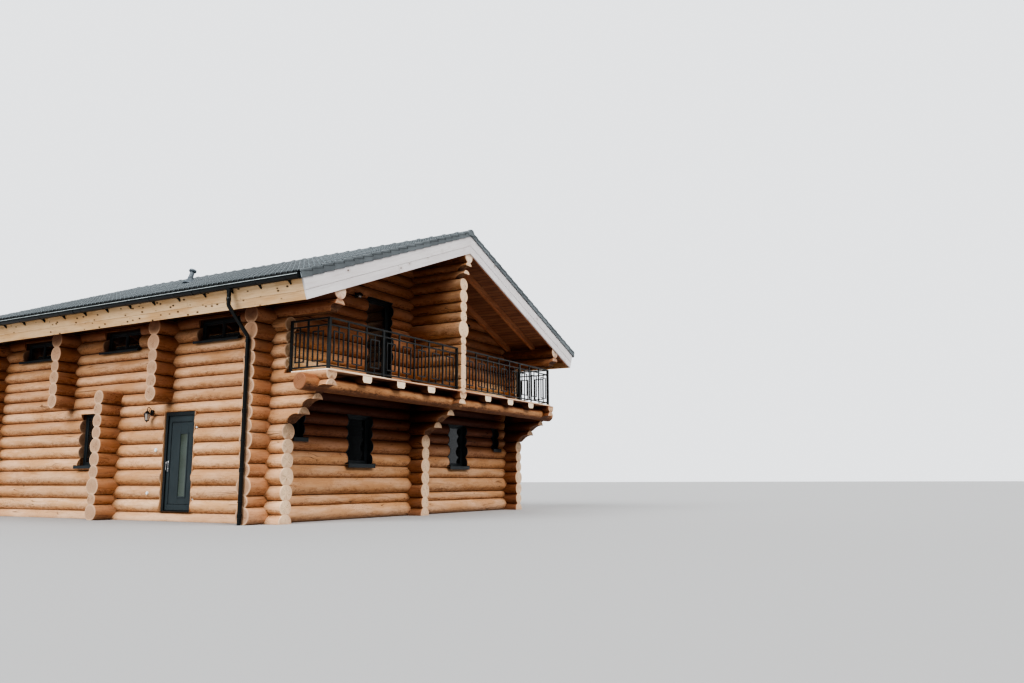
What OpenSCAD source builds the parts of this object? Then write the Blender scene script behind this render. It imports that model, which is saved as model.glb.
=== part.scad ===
// Alpine chalet: a two-storey round-log house under one low gable roof, a pair of
// dwellings mirrored about a middle log wall, with a log-corbelled balcony on each gable.
//
// Frame: millimetres, +Z up, ground plane at z = 0, origin under the centre of the house.
// The ridge runs along Y, the gables face -Y and +Y, the long walls face -X and +X.

/* [Plan] */
// Distance between the centre lines of the two long walls
span_x = 9550; // [9350:10:9750]
// Distance between the centre lines of the two gable walls
span_y = 9400; // [9200:10:9600]
// How far the gable-wall log ends stand out past the long-wall centre line
flyway_x = 630; // [560:10:700]
// How far the plain lower log ends stand out past the gable-wall centre line
flyway_y = 540; // [480:10:600]
// How far stacked log ends stand from the gable wall to the partition stack by the door
stack_front = 2950; // [2900:10:3000]

/* [Logs] */
// How much wider than its course height each log is, on each side, where it is scribed
scribe = 22; // [18:1:26]
// Diameter of the balcony bearer log
bearer_d = 330; // [300:5:350]
// Diameter of the two wall-plate logs that carry the rafter feet
plate_d = 360; // [340:5:370]
// Diameter of the ridge log
ridge_d = 330; // [310:5:350]
// Radius of the hollow cut under each corbelled log end
cove_r = 300; // [260:10:340]

/* [Roof] */
// Height of the barge-board top at the ridge
apex_z = 6930; // [6900:5:6960]
// Fall of the roof per unit of run
fall = 0.3924; // [0.385:0.0002:0.395]
// Distance from the middle to the outer top edge of the eave fascia
eave_x = 5884; // [5850:2:5920]
// How far the barge-board face stands past the gable-wall centre line
verge = 1826; // [1800:2:1850]
// Depth of the barge boards and fascias, square to the slope
fascia_h = 420; // [400:5:430]
// Thickness of the barge boards and fascias
fascia_t = 40; // [30:1:45]
// Rafter depth, measured plumb
rafter_h = 160; // [120:5:180]
// Rafter width
rafter_w = 90; // [70:5:110]

/* [Balcony] */
// Height of the underside of the deck boards
deck_z = 3000; // [2990:1:3010]
// Deck board thickness
deck_t = 40; // [36:1:45]
// Height of the railing top above the deck
rail_h = 1045; // [1000:5:1060]
// Distance from the gable-wall centre line to the front railing
rail_y = 1528; // [1500:2:1540]

/* [Doors and windows] */
// Height of every lower door and window head
head_z = 2350; // [2340:1:2360]
// Width of the entry doorway in the logs
door_w = 980; // [960:5:1000]
// Distance from the gable-wall centre line to the near side of the entry doorway
door_y = 2050; // [2000:10:2060]
// Width of the upper strip windows
strip_w = 1280; // [1200:10:1300]
// Width of the window and door frame members
frame_w = 60; // [45:1:70]

/* [Hidden] */

hx = span_x / 2;
hy = span_y / 2;
// course joints, bottom to top: long walls, gable walls, middle wall
long_z = [0, 180, 460, 760, 1100, 1390, 1670, 1980, 2290, 2550, 2820, 3090, 3330, 3615, 3870, 4165, 4415];
gable_z = [0, 330, 560, 920, 1190, 1480, 1800, 2060, 2330, 2580, 2870, 3140, 3430, 3680, 4020,
           4360, 4590, 4830, 5130, 5420, 5720, 6000, 6290, 6560, 6800];
stub_y = 500;
mid_z = [0, 180, 440, 760, 1050, 1370, 1650, 1960, 2270, 2550, 2820, 3080, 3310, 3660, 3930,
         4170, 4360, 4750, 5000, 5250, 5550, 5840, 6040, 6240];
// how far each long-wall and middle-wall course runs past the gable-wall centre line
long_end = [for (k = [0:15]) k < 7 ? flyway_y : k == 7 ? 940 : k == 8 ? 1290 : k < 11 ? 1630 : k < 15 ? stub_y : 1785];
mid_end = [for (k = [0:22]) k < 7 ? flyway_y : k == 7 ? 900 : k == 8 ? 1280 : k == 9 ? 1620 : k < 21 ? 1640 : k == 21 ? 1720 : 1782];
long_cove = [7, 8, 9, 15];
mid_cove = [7, 8, 9, 21, 22];
wall_top = 4415;
gable_top_out = 4360;
log_col = [0.80, 0.58, 0.40];
end_col = [0.88, 0.76, 0.62];
dark_col = [0.15, 0.17, 0.18];
roof_drop = fascia_h / cos(atan(fall));
slab_drop = 240;
batten_up = 90;
tile_up = 160;
// how far the tile bed sits lower at the ridge than at the eave
ease = 30;
// outer face of the set-back window frames, outside the wall centre line
set_out = 20;
pitch = atan(fall);
rafter_pitch = (2 * hy + 480) / 12;
rafter_rows = [for (k = [-6:6]) k * rafter_pitch];
rafter_ends = [hy + 1080, hy + verge - fascia_t - rafter_w / 2];
strip_z = 3840;
vent_x = 3300;
vent_y = -200;
strip_h = 480;
rail_top = deck_z + deck_t + rail_h;
rail_step = (hx - 180) / 8;
door_sill = 200;
leaf_gap = 8;
leaf_t = 60;
leaf_out = 75;

function mid_of(z, i) = (z[i] + z[i + 1]) / 2;
function rad_of(z, i) = (z[i + 1] - z[i]) / 2 + scribe;
function roof_z(x) = apex_z - fall * abs(x);
function bed_z(x) = roof_z(x) - ease * (1 - abs(x) / eave_x);

// ---------- flat profiles ----------

steps = 6;
function cen(z, i) = z[i] == 0 && z[1] < 200 ? z[1] / 2 - 70 : mid_of(z, i);
function rad(z, i) = z[i] == 0 && z[1] < 200 ? 180 : rad_of(z, i);
// height at which a course meets the one above it
function meet(z, i) = (cen(z, i) + cen(z, i + 1)) / 2
    + (pow(rad(z, i), 2) - pow(rad(z, i + 1), 2)) / (2 * (cen(z, i + 1) - cen(z, i)));
function low_of(z, i, lo) = i == 0 ? lo : max(lo, meet(z, i - 1));
function high_of(z, i, hi) = i == len(z) - 2 ? min(hi, z[i + 1]) : min(hi, meet(z, i));
// right-hand edge of a stack of scribed logs seen end on, from height lo up to hi
function edge(z, lo, hi) = [
    for (i = [0:len(z) - 2])
        let (l = low_of(z, i, lo), h = high_of(z, i, hi))
            if (h - l > 1)
                let (a = asin((l - cen(z, i)) / rad(z, i)), b = asin((h - cen(z, i)) / rad(z, i)),
                     last = i == len(z) - 2 || h < meet(z, i) - 0.001 || hi - h < 0.001)
                    for (k = [0:last ? steps : steps - 1])
                        let (t = a + (b - a) * k / steps) [rad(z, i) * cos(t), cen(z, i) + rad(z, i) * sin(t)]
];
// the same stack as upright blocks that just enclose each log
function block_edge(z, lo, hi) = [
    for (i = [0:len(z) - 2])
        let (l = max(z[i], lo), h = min(z[i + 1], hi))
            if (h - l > 0.001)
                for (p = [l, h]) [rad(z, i), p]
];
function flip(p) = [for (i = [len(p) - 1:-1:0]) [-p[i][0], p[i][1]]];
module log_profile(z, lo, hi) polygon(concat(edge(z, lo, hi), flip(edge(z, lo, hi))));
module block_profile(z, lo, hi) polygon(concat(block_edge(z, lo, hi), flip(block_edge(z, lo, hi))));

// hollow under a corbelled end: from the tip down to the joint below, as [reach, height] points
function cove(reach, z0, z1, r, b) =
    let (tip = z0 + 0.58 * (z1 - z0), uc = reach - b, zc = tip - sqrt(r * r - b * b),
         a1 = acos(b / r), a0 = 180 - asin((z0 - zc) / r))
        [for (k = [0:6]) let (t = a0 + (a1 - a0) * k / 6) [uc + r * cos(t), zc + r * sin(t)]];
// outer outline of the log ends past the gable wall, from height lo to hi, as [reach, height]
function ends_outline(z, ends, coves, lo, hi) = [
    for (i = [0:len(ends) - 1])
        let (l = max(z[i], lo), h = min(z[i + 1], hi))
            if (h - l > 0.001)
                for (p = len(search(i, coves)) > 0 && l == z[i] ? concat(z[i] == 4165 ? cove(ends[i], z[i], z[i + 1], 130, 20)
                                                                              : cove(ends[i], z[i], z[i + 1], cove_r, 65), [[ends[i], h]])
                                                                : [[ends[i], l], [ends[i], h]])
                    p
];

// stand a profile up and run it along Y or along X between two positions
module along_y(y0, y1) translate([0, y1, 0]) rotate([90, 0, 0]) linear_extrude(y1 - y0) children();
module along_x(x0, x1) translate([x0, 0, 0]) rotate([90, 0, 90]) linear_extrude(x1 - x0) children();

module mirror_y() { children(); mirror([0, 1, 0]) children(); }
module mirror_x() { children(); mirror([1, 0, 0]) children(); }
module bx(x0, x1, y0, y1, z0, z1) translate([x0, y0, z0]) cube([x1 - x0, y1 - y0, z1 - z0]);

// the log ends past the gable wall, inner face at reach u0
module log_ends(z, ends, coves, lo, hi, u0)
    intersection() {
        along_y(-hy - 1900, -hy - u0) log_profile(z, lo, hi);
        translate([-300, 0, 0]) rotate([90, 0, 90]) linear_extrude(600)
            polygon(concat([[-hy - u0, lo]], [for (p = ends_outline(z, ends, coves, lo, hi)) [-hy - p[0], p[1]]], [[-hy - u0, hi]]));
    }

// ---------- openings ----------

// one opening through a long wall at y, seen from -X
module long_hole(y, w, z0, z1) bx(-hx - 300, -hx + 300, y - w / 2, y + w / 2, z0, z1);
strip_y = [-hy + stack_front / 2, 0, hy - stack_front / 2];
low_win_y = 800;
low_win_w = 980;
low_win_z = [1200, 2420];
door_c = -hy + door_y + door_w / 2;
small_x = [3900, 4250];
small_z = [1740, head_z];
tall_x = [1630, 2500];
tall_z = [1220, head_z];
bdoor_x = [950, 1900];
bdoor_z = [3060, 5200];

module long_openings() {
    for (y = strip_y) {
        long_hole(y, strip_w, strip_z, strip_z + strip_h);
        bx(-hx - 260, -hx - 110, y - strip_w / 2 - 60, y + strip_w / 2 + 60, strip_z, strip_z + 20);
    }
    long_hole(low_win_y, low_win_w, low_win_z[0], low_win_z[1]);
    bx(-hx - 260, -hx - 110, low_win_y - low_win_w / 2 - 60, low_win_y + low_win_w / 2 + 60, low_win_z[0], low_win_z[0] + 20);
    long_hole(door_c, door_w, door_sill, head_z);
}

module gable_openings()
    mirror_x() {
        bx(small_x[0], small_x[1], -hy - 300, -hy + 300, small_z[0], small_z[1]);
        bx(small_x[0] - 50, small_x[1] + 50, -hy - 260, -hy - 110, small_z[0], small_z[0] + 20);
        bx(tall_x[0], tall_x[1], -hy - 300, -hy + 300, tall_z[0], tall_z[1]);
        bx(tall_x[0] - 50, tall_x[1] + 50, -hy - 260, -hy - 110, tall_z[0], tall_z[0] + 20);
        bx(bdoor_x[0], bdoor_x[1], -hy - 300, -hy + 300, bdoor_z[0], bdoor_z[1]);
    }

// pockets that the two floors' edges and the balcony joists sit in
module floor_pocket() bx(-hx + 75, hx - 75, -hy + 80, hy - 80, 2840, 3040);
joist_x = [1280, 2450, 3620];
module joist_bars()
    mirror_x() for (x = joist_x)
        along_y(-hy - 1580, -hy - 50)
            polygon([[x - 150, deck_z], [x - 150, deck_z - 90], [x - 115, deck_z - 140],
                     [x + 115, deck_z - 140], [x + 150, deck_z - 90], [x + 150, deck_z]]);

// ---------- long walls ----------

// pads where a partition stack is let into the long wall
module stack_pads(wall_side = true) {
    for (s = [-1, 1])
        bx(-hx - 200, -hx - 60, s * (hy - stack_front) - 165, s * (hy - stack_front) + 165, 2580, 4120);
    bx(-hx - 200, -hx - 60, -165, 165, 0, 2870);
}

// whole west wall between two heights, centred on its own line at x = -hx
module long_wall(lo, hi) {
    difference() {
        translate([-hx, 0, 0]) {
            along_y(-hy + 150, hy - 150) log_profile(long_z, lo, hi);
            mirror_y() {
                along_y(-hy - 150, -hy + 150) block_profile(long_z, lo, hi);
                log_ends(long_z, long_end, long_cove, lo, hi, 150);
            }
        }
        long_openings();
        stack_pads();
        floor_pocket();
        mirror_y() {
            bx(-hx - 250, -hx + 250, -hy - 1700, -hy - stub_y, deck_z, 3100);
            if (hi > 3000)
                translate([-hx - 300, -hy - 1270, 2760]) rotate([0, 90, 0]) cylinder(d = bearer_d + 1.6, h = 600, $fn = 48);
        }
    }
}

module wall_w_front() color(log_col) intersection() {
    long_wall(0, head_z);
    bx(-hx - 400, -hx + 400, -hy - 2000, door_c, 0, head_z);
}
module wall_w_back() color(log_col) intersection() {
    long_wall(0, head_z);
    bx(-hx - 400, -hx + 400, door_c, hy + 2000, 0, head_z);
}
module wall_w_upper() color(log_col) long_wall(head_z, wall_top);
module wall_e_lower() color(log_col) mirror([1, 0, 0]) long_wall(0, head_z);
module wall_e_upper() color(log_col) mirror([1, 0, 0]) long_wall(head_z, wall_top);

// ---------- gable walls ----------

module gable_wall(lo, hi) {
    difference() {
        translate([0, -hy, 0])
            intersection() {
                along_x(-hx - flyway_x, hx + flyway_x) log_profile(gable_z, lo, min(hi, 6600));
                along_y(-260, 260)
                    polygon([[-hx - 700, 0], [hx + 700, 0], [hx + 700, gable_top_out], [hx, gable_top_out],
                             [hx, roof_z(hx) - slab_drop - 0.5], [0, apex_z - slab_drop - 0.5],
                             [-hx, roof_z(hx) - slab_drop - 0.5], [-hx, gable_top_out], [-hx - 700, gable_top_out]]);
            }
        mirror_x() translate([hx, 0, 0]) {
            along_y(-hy - 270, -hy + 270) block_profile(long_z, lo, min(hi, wall_top));
            if (hi > wall_top) bx(-185, 185, -hy - 270, -hy + 270, wall_top - 10, 5200);
        }
        along_y(-hy - 270, -hy + 270) block_profile(mid_z, lo, min(hi, 6240));
        if (hi > 6240) bx(-168, 168, -hy - 270, -hy + 270, 6230, 6900);
        gable_openings();
        floor_pocket();
        joist_bars();
    }
}
module gable_f_lower() color(log_col) gable_wall(0, head_z);
module gable_f_upper() color(log_col) gable_wall(head_z, 6700);
module gable_b_lower() color(log_col) mirror([0, 1, 0]) gable_wall(0, head_z);
module gable_b_upper() color(log_col) mirror([0, 1, 0]) gable_wall(head_z, 6700);

// ---------- middle wall, seen only where it passes through each gable ----------

module midwall() {
    difference() {
        along_y(-hy - 160, -hy + 160) block_profile(mid_z, 0, 6240);
        floor_pocket();
    }
    difference() {
        log_ends(mid_z, mid_end, mid_cove, 0, 6240, 160);
        // plumb sides where the railings meet it
        for (s = [-1, 1])
            bx(s > 0 ? 110 : -260, s > 0 ? 260 : -110, -hy - 1700, -hy - 1495, deck_z + deck_t, 4160);
        translate([-300, -hy - 1270, 2760]) rotate([0, 90, 0]) cylinder(d = bearer_d + 1.6, h = 600, $fn = 48);
    }
}
module midwall_front() color(log_col) midwall();
module midwall_back() color(log_col) mirror([0, 1, 0]) midwall();

// ---------- partition stacks on the long walls ----------

module stack(y, lo, hi, top) {
    translate([0, y, 0]) {
        along_x(-hx - flyway_x, -hx - 200) log_profile(gable_z, lo, top);
        bx(-hx - 200, -hx - 60, -165, 165, lo, hi);
    }
}
module stacks() {
    mirror_y() stack(-hy + stack_front, 2580, 4120, gable_top_out);
    stack(0, 0, 2870, 2870);
}
module stacks_w() color(log_col) stacks();
module stacks_e() color(log_col) mirror([1, 0, 0]) stacks();

// ---------- roof timbers ----------

// everything above the rafter undersides
module above_rafters()
    along_y(-hy - 3000, hy + 3000)
        polygon([[-hx - 2000, roof_z(hx + 2000) - slab_drop - rafter_h], [0, apex_z - slab_drop - rafter_h],
                 [hx + 2000, roof_z(hx + 2000) - slab_drop - rafter_h], [hx + 2000, 9000], [-hx - 2000, 9000]]);

module plate_logs() color(end_col) mirror_x()
    along_y(-hy - 1785, hy + 1785)
        intersection() {
            translate([-hx, wall_top + plate_d / 2 - 10]) circle(d = plate_d, $fn = 48);
            polygon([[-hx - 300, wall_top], [-hx + 300, wall_top],
                     [-hx + 300, roof_z(hx - 300) - slab_drop - rafter_h - 0.4],
                     [-hx - 300, roof_z(hx + 300) - slab_drop - rafter_h - 0.4]]);
        }
module ridge_log() color(end_col)
    along_y(-hy - verge + fascia_t + 2, hy + verge - fascia_t - 2)
        intersection() {
            translate([0, 6240 + ridge_d / 2 - 8]) circle(d = ridge_d, $fn = 48);
            polygon([[-300, 6240], [300, 6240], [300, roof_z(300) - slab_drop - rafter_h - 0.4],
                     [0, apex_z - slab_drop - rafter_h - 0.4], [-300, roof_z(300) - slab_drop - rafter_h - 0.4]]);
        }

module rafter_slope(y) {
    foot = eave_x - fascia_t / cos(pitch);
    u1 = foot - (slab_drop + rafter_h) * sin(pitch) * cos(pitch);
    u2 = foot - slab_drop * sin(pitch) * cos(pitch);
    along_y(y - rafter_w / 2, y + rafter_w / 2)
        polygon([[0, apex_z - slab_drop - rafter_h], [-u1, roof_z(u1) - slab_drop - rafter_h],
                 [-u2, roof_z(u2) - slab_drop], [0, apex_z - slab_drop]]);
}
rafter_y = concat(rafter_rows, rafter_ends, [for (e = rafter_ends) -e]);
module rafters_w() color([0.42, 0.24, 0.15]) for (y = rafter_y) rafter_slope(y);
module rafters_e() color([0.42, 0.24, 0.15]) mirror([1, 0, 0]) for (y = rafter_y) rafter_slope(y);

ry = concat([-rafter_ends[1], -rafter_ends[0]], rafter_rows, rafter_ends);
module eave_blocking() color([0.42, 0.24, 0.15]) mirror_x()
    for (i = [0:len(ry) - 2])
        along_y(ry[i] + rafter_w / 2 + 0.3, ry[i + 1] - rafter_w / 2 - 0.3)
            polygon([for (p = [[-hx - 20, -slab_drop - rafter_h + 0.3], [-hx + 20, -slab_drop - rafter_h + 0.3],
                               [-hx + 20, -slab_drop - 0.3], [-hx - 20, -slab_drop - 0.3]]) [p[0], roof_z(p[0]) + p[1]]]);

// one slope of boarding with a square-cut foot; e0 and e1 ease its lower and upper face at the ridge
module slope_slab(lo, hi, foot, gap, y1, e0, e1)
    along_y(-y1, y1)
        polygon([[-gap, roof_z(gap) + lo - e0],
                 [-foot - lo * sin(pitch) * cos(pitch), roof_z(foot + lo * sin(pitch) * cos(pitch)) + lo],
                 [-foot - hi * sin(pitch) * cos(pitch), roof_z(foot + hi * sin(pitch) * cos(pitch)) + hi],
                 [-gap, roof_z(gap) + hi - e1]]);

module roof_deck_w() color([0.42, 0.24, 0.15])
    slope_slab(-slab_drop, batten_up - 1, eave_x - fascia_t / cos(pitch), 0, hy + verge - fascia_t, 0, ease);
module roof_deck_e() color([0.42, 0.24, 0.15]) mirror([1, 0, 0])
    slope_slab(-slab_drop, batten_up - 1, eave_x - fascia_t / cos(pitch), 0, hy + verge - fascia_t, 0, ease);

// tile covering with the verge tiles turned down over the barge boards
module tiles() {
    slope_slab(batten_up, tile_up, eave_x + 55, 30, hy + verge + 30, ease, ease);
    mirror_y() translate([0, -hy - verge - 15, 0])
        along_y(-15, 15)
            polygon([[-30, roof_z(30) - 10], [-eave_x - 20, roof_z(eave_x + 20) - 10],
                     [-eave_x - 55, roof_z(eave_x + 55) + tile_up - 5], [-30, bed_z(30) + tile_up - 5]]);
}
module roof_tiles_w() color([0.37, 0.39, 0.41]) tiles();
module roof_tiles_e() color([0.37, 0.39, 0.41]) mirror([1, 0, 0]) tiles();

module ridge_tiles() color([0.35, 0.37, 0.39])
    along_y(-hy - verge - 35, hy + verge + 35)
        difference() {
            polygon([[-150, bed_z(150) + tile_up + 1], [-150, bed_z(150) + tile_up + 16], [-70, apex_z + tile_up - 13],
                     [0, apex_z + tile_up], [70, apex_z + tile_up - 13], [150, bed_z(150) + tile_up + 16], [150, bed_z(150) + tile_up + 1]]);
            polygon([[-150, bed_z(150) + tile_up + 1], [0, bed_z(0) + tile_up + 1], [150, bed_z(150) + tile_up + 1], [0, 0]]);
        }

module barge_half() mirror_y()
    along_y(-hy - verge, -hy - verge + fascia_t)
        polygon([[0, apex_z], [-eave_x, roof_z(eave_x)],
                 [-eave_x + fascia_h * sin(pitch), roof_z(eave_x) - fascia_h * cos(pitch)], [0, apex_z - roof_drop]]);
module barge_boards_w() color([0.85, 0.82, 0.81]) barge_half();
module barge_boards_e() color([0.85, 0.82, 0.81]) mirror([1, 0, 0]) barge_half();

module eave_fascias() color([0.80, 0.64, 0.45]) mirror_x()
    along_y(-hy - verge + fascia_t, hy + verge - fascia_t)
        translate([-eave_x, roof_z(eave_x)]) rotate(pitch) translate([0, -fascia_h]) square([fascia_t, fascia_h]);

// half-round gutter with straight lips, as one ring of points
function gutter_ring(r, side) = [for (k = [0:12]) let (t = 180 + side * 15 * k) [r * cos(t), r * sin(t)]];
module gutters() color([0.08, 0.09, 0.10]) mirror_x()
    along_y(-hy - verge + 5, hy + verge - 5)
        translate([-eave_x - 82, 4655])
            polygon(concat([[-70, 45]], gutter_ring(70, 1), [[70, 45], [62, 45]],
                           [for (p = gutter_ring(62, 1)) [-p[0], p[1]]], [[-62, 45]]));

module pipe_run(a, b, r) {
    d = b - a;
    l = norm(d);
    translate(a) rotate([0, acos(d[2] / l), atan2(d[1], d[0])]) cylinder(r = r, h = l, $fn = 12);
}
pipe_top = [-eave_x - 82, -hy + 40, 4586];
pipe_knee = [-eave_x - 82, -hy + 40, 4268];
pipe_wall = [-hx - flyway_x - 56, -hy, 3710];
pipe_dir = (pipe_wall - pipe_knee) / norm(pipe_wall - pipe_knee);
module downpipe() {
    difference() {
        pipe_run([pipe_knee[0], pipe_knee[1], pipe_knee[2] - 25], pipe_top + [0, 0, 30], 40);
        along_y(-hy - 100, -hy + 100) translate([-eave_x - 82, 4655]) polygon(concat(gutter_ring(70.5, 1), [[70, 45], [-70, 45]]));
    }
    pipe_run(pipe_knee - 20 * pipe_dir, pipe_wall + 20 * pipe_dir, 38);
    pipe_run([pipe_wall[0], pipe_wall[1], 0], [pipe_wall[0], pipe_wall[1], pipe_wall[2] + 25], 40);
    for (z = [150, 1020, 2180])
        pipe_run([pipe_wall[0], pipe_wall[1], z], [pipe_wall[0], pipe_wall[1], z + 70], 47);
    // brackets on the log ends
    for (z = [440, 1640, 3300])
        bx(pipe_wall[0], -hx - flyway_x - 0.5, pipe_wall[1] - 12, pipe_wall[1] + 12, z - 15, z + 15);
}
module downpipes() color([0.08, 0.09, 0.10]) mirror_x() mirror_y() downpipe();

// a capped vent pipe on each slope, leaning uphill as its flashing tile sets it
module roof_vents() color([0.30, 0.31, 0.32]) mirror_x()
    difference() {
        translate([-vent_x, vent_y, roof_z(vent_x) + tile_up]) rotate([0, 16, 0]) translate([0, 0, -150]) {
            cylinder(r = 55, h = 490, $fn = 32);
            translate([0, 0, 480]) cylinder(r = 90, h = 70, $fn = 32);
        }
        along_y(-hy, hy) polygon([[0, 0], [0, bed_z(0) + tile_up + 0.5], [-eave_x - 200, bed_z(eave_x + 200) + tile_up + 0.5], [-eave_x - 200, 0]]);
    }

// ---------- floors ----------

module ground_floor() color([0.62, 0.58, 0.52]) bx(-hx + 205, hx - 205, -hy + 205, hy - 205, 0, 200);
module upper_floor() color([0.70, 0.55, 0.40]) bx(-hx + 75, hx - 75, -hy + 80, hy - 80, 2840, 3040);

// ---------- balcony ----------

module bearer() difference() {
    translate([-hx - 525, -hy - 1270, 2760]) rotate([0, 90, 0]) cylinder(d = bearer_d, h = span_x + 1050, $fn = 48);
    joist_bars();
}
module bearer_front() color([0.62, 0.40, 0.24]) bearer();
module bearer_back() color([0.62, 0.40, 0.24]) mirror([0, 1, 0]) bearer();

module joists_front() color([0.60, 0.42, 0.28]) joist_bars();
module joists_back() color([0.60, 0.42, 0.28]) mirror([0, 1, 0]) joist_bars();

module deck() mirror_x() {
    bx(150, hx + 60, -hy - 1590, -hy - stub_y - 5, deck_z, deck_z + deck_t);
    bx(150, hx - 160, -hy - stub_y - 5, -hy - 165, deck_z, deck_z + deck_t);
}
module deck_front() color([0.74, 0.58, 0.44]) deck();
module deck_back() color([0.74, 0.58, 0.44]) mirror([0, 1, 0]) deck();

module rail_front_panel() {
    z0 = deck_z + deck_t;
    x1 = hx;
    x0 = 125;
    y = -hy - rail_y;
    bx(x0, x1, y - 20, y + 20, rail_top - 34, rail_top);
    bx(x0, x1, y - 12, y + 12, rail_top - 168, rail_top - 138);
    bx(x0, x1, y - 14, y + 14, z0 + 50, z0 + 80);
    for (k = [1:7])
        bx(x1 - k * rail_step - 16, x1 - k * rail_step + 16, y - 16, y + 16, z0 + 51, rail_top - 10);
    for (x = [x0 + 22, x1 - 3 * rail_step, x1])
        bx(x - (x == x1 ? 30 : 24), x + (x == x1 ? 30 : 24), y - 27, y + 27, z0, rail_top - 1);
}
module rail_side_panel() {
    z0 = deck_z + deck_t;
    x = hx;
    y0 = -hy - rail_y + 27.5;
    y1 = -hy - stub_y - 5;
    bx(x - 20, x + 20, y0, y1, rail_top - 34, rail_top);
    bx(x - 12, x + 12, y0, y1, rail_top - 168, rail_top - 138);
    bx(x - 14, x + 14, y0, y1, z0 + 50, z0 + 80);
    bx(x - 16, x + 16, -hy - 986, -hy - 954, z0 + 51, rail_top - 10);
    bx(x - 20, x + 20, y1 - 40, y1, z0, rail_top - 1);
}
module railing_front() color(dark_col) mirror_x() rail_front_panel();
module railing_front_sides() color(dark_col) mirror_x() rail_side_panel();
module railing_back() color(dark_col) mirror([0, 1, 0]) mirror_x() rail_front_panel();
module railing_back_sides() color(dark_col) mirror([0, 1, 0]) mirror_x() rail_side_panel();

// ---------- windows and fixed doors ----------

// frame ring in a long wall, with an optional middle bar; y is its centre
module long_frame(y, w, z0, z1, bar = false)
    difference() {
        bx(-hx - set_out, -hx + 50, y - w / 2, y + w / 2, z0, z1);
        if (bar) {
            bx(-hx - 200, -hx + 60, y - w / 2 + frame_w, y - frame_w / 2, z0 + frame_w, z1 - frame_w);
            bx(-hx - 200, -hx + 60, y + frame_w / 2, y + w / 2 - frame_w, z0 + frame_w, z1 - frame_w);
        } else
            bx(-hx - 200, -hx + 60, y - w / 2 + frame_w, y + w / 2 - frame_w, z0 + frame_w, z1 - frame_w);
    }
module long_pane(y, w, z0, z1, bar = false) {
    if (bar) {
        bx(-hx + 5, -hx + 25, y - w / 2 + frame_w, y - frame_w / 2, z0 + frame_w, z1 - frame_w);
        bx(-hx + 5, -hx + 25, y + frame_w / 2, y + w / 2 - frame_w, z0 + frame_w, z1 - frame_w);
    } else
        bx(-hx + 5, -hx + 25, y - w / 2 + frame_w, y + w / 2 - frame_w, z0 + frame_w, z1 - frame_w);
}
module gable_frame(x, z)
    difference() {
        union() {
            bx(x[0], x[1], -hy - set_out, -hy + 50, z[0], z[1]);
            lining(x, z[0] + 30, z[1]);
        }
        bx(x[0] + frame_w, x[1] - frame_w, -hy - 200, -hy + 60, z[0] + frame_w, z[1] - frame_w);
    }
// boards lining the sides and head of a hole outside its frame
module lining(x, z0, z1) difference() {
    bx(x[0], x[1], -hy - 150, -hy - set_out, z0, z1);
    bx(x[0] + 15, x[1] - 15, -hy - 200, -hy - set_out, z0 - 10, z1 - 15);
}
module gable_pane(x, z)
    bx(x[0] + frame_w, x[1] - frame_w, -hy + 5, -hy + 25, z[0] + frame_w, z[1] - frame_w);

module window_frames() color(dark_col) {
    mirror_x() {
        for (y = strip_y) long_frame(y, strip_w, strip_z, strip_z + strip_h, true);
        long_frame(low_win_y, low_win_w, low_win_z[0], low_win_z[1]);
    }
    mirror_x() mirror_y() {
        gable_frame(small_x, small_z);
        gable_frame(tall_x, tall_z);
    }
}
module window_glass() color([0.55, 0.65, 0.70]) {
    mirror_x() {
        for (y = strip_y) long_pane(y, strip_w, strip_z, strip_z + strip_h, true);
        long_pane(low_win_y, low_win_w, low_win_z[0], low_win_z[1]);
    }
    mirror_x() mirror_y() {
        gable_pane(small_x, small_z);
        gable_pane(tall_x, tall_z);
        gable_pane(bdoor_x, [bdoor_z[0] + 40, bdoor_z[1]]);
    }
}
// a folded metal sill: its top from the frame outwards, with ears, and a face turned down
module long_sill(y, w, z) {
    bx(-hx - 225, -hx - set_out, y - w / 2, y + w / 2, z, z + 20);
    bx(-hx - 225, -hx - 110, y - w / 2 - 60, y + w / 2 + 60, z, z + 20);
    bx(-hx - 228, -hx - 208, y - w / 2 - 60, y + w / 2 + 60, z - 60, z + 20);
}
module gable_sill(x, z) {
    bx(x[0], x[1], -hy - 225, -hy - set_out, z, z + 20);
    bx(x[0] - 50, x[1] + 50, -hy - 225, -hy - 110, z, z + 20);
    bx(x[0] - 50, x[1] + 50, -hy - 228, -hy - 208, z - 80, z + 20);
}
module window_sills() color(dark_col) {
    mirror_x() {
        for (y = strip_y) long_sill(y, strip_w, strip_z);
        long_sill(low_win_y, low_win_w, low_win_z[0]);
    }
    mirror_x() mirror_y() {
        gable_sill(small_x, small_z[0]);
        gable_sill(tall_x, tall_z[0]);
    }
}
module balcony_doors() color(dark_col) mirror_x() mirror_y()
    difference() {
        union() {
            bx(bdoor_x[0], bdoor_x[1], -hy - set_out, -hy + 50, bdoor_z[0], bdoor_z[1]);
            lining(bdoor_x, bdoor_z[0], bdoor_z[1]);
        }
        bx(bdoor_x[0] + frame_w, bdoor_x[1] - frame_w, -hy - 200, -hy + 60, bdoor_z[0] + 40 + frame_w, bdoor_z[1] - frame_w);
    }

// ---------- entry doors ----------

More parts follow.
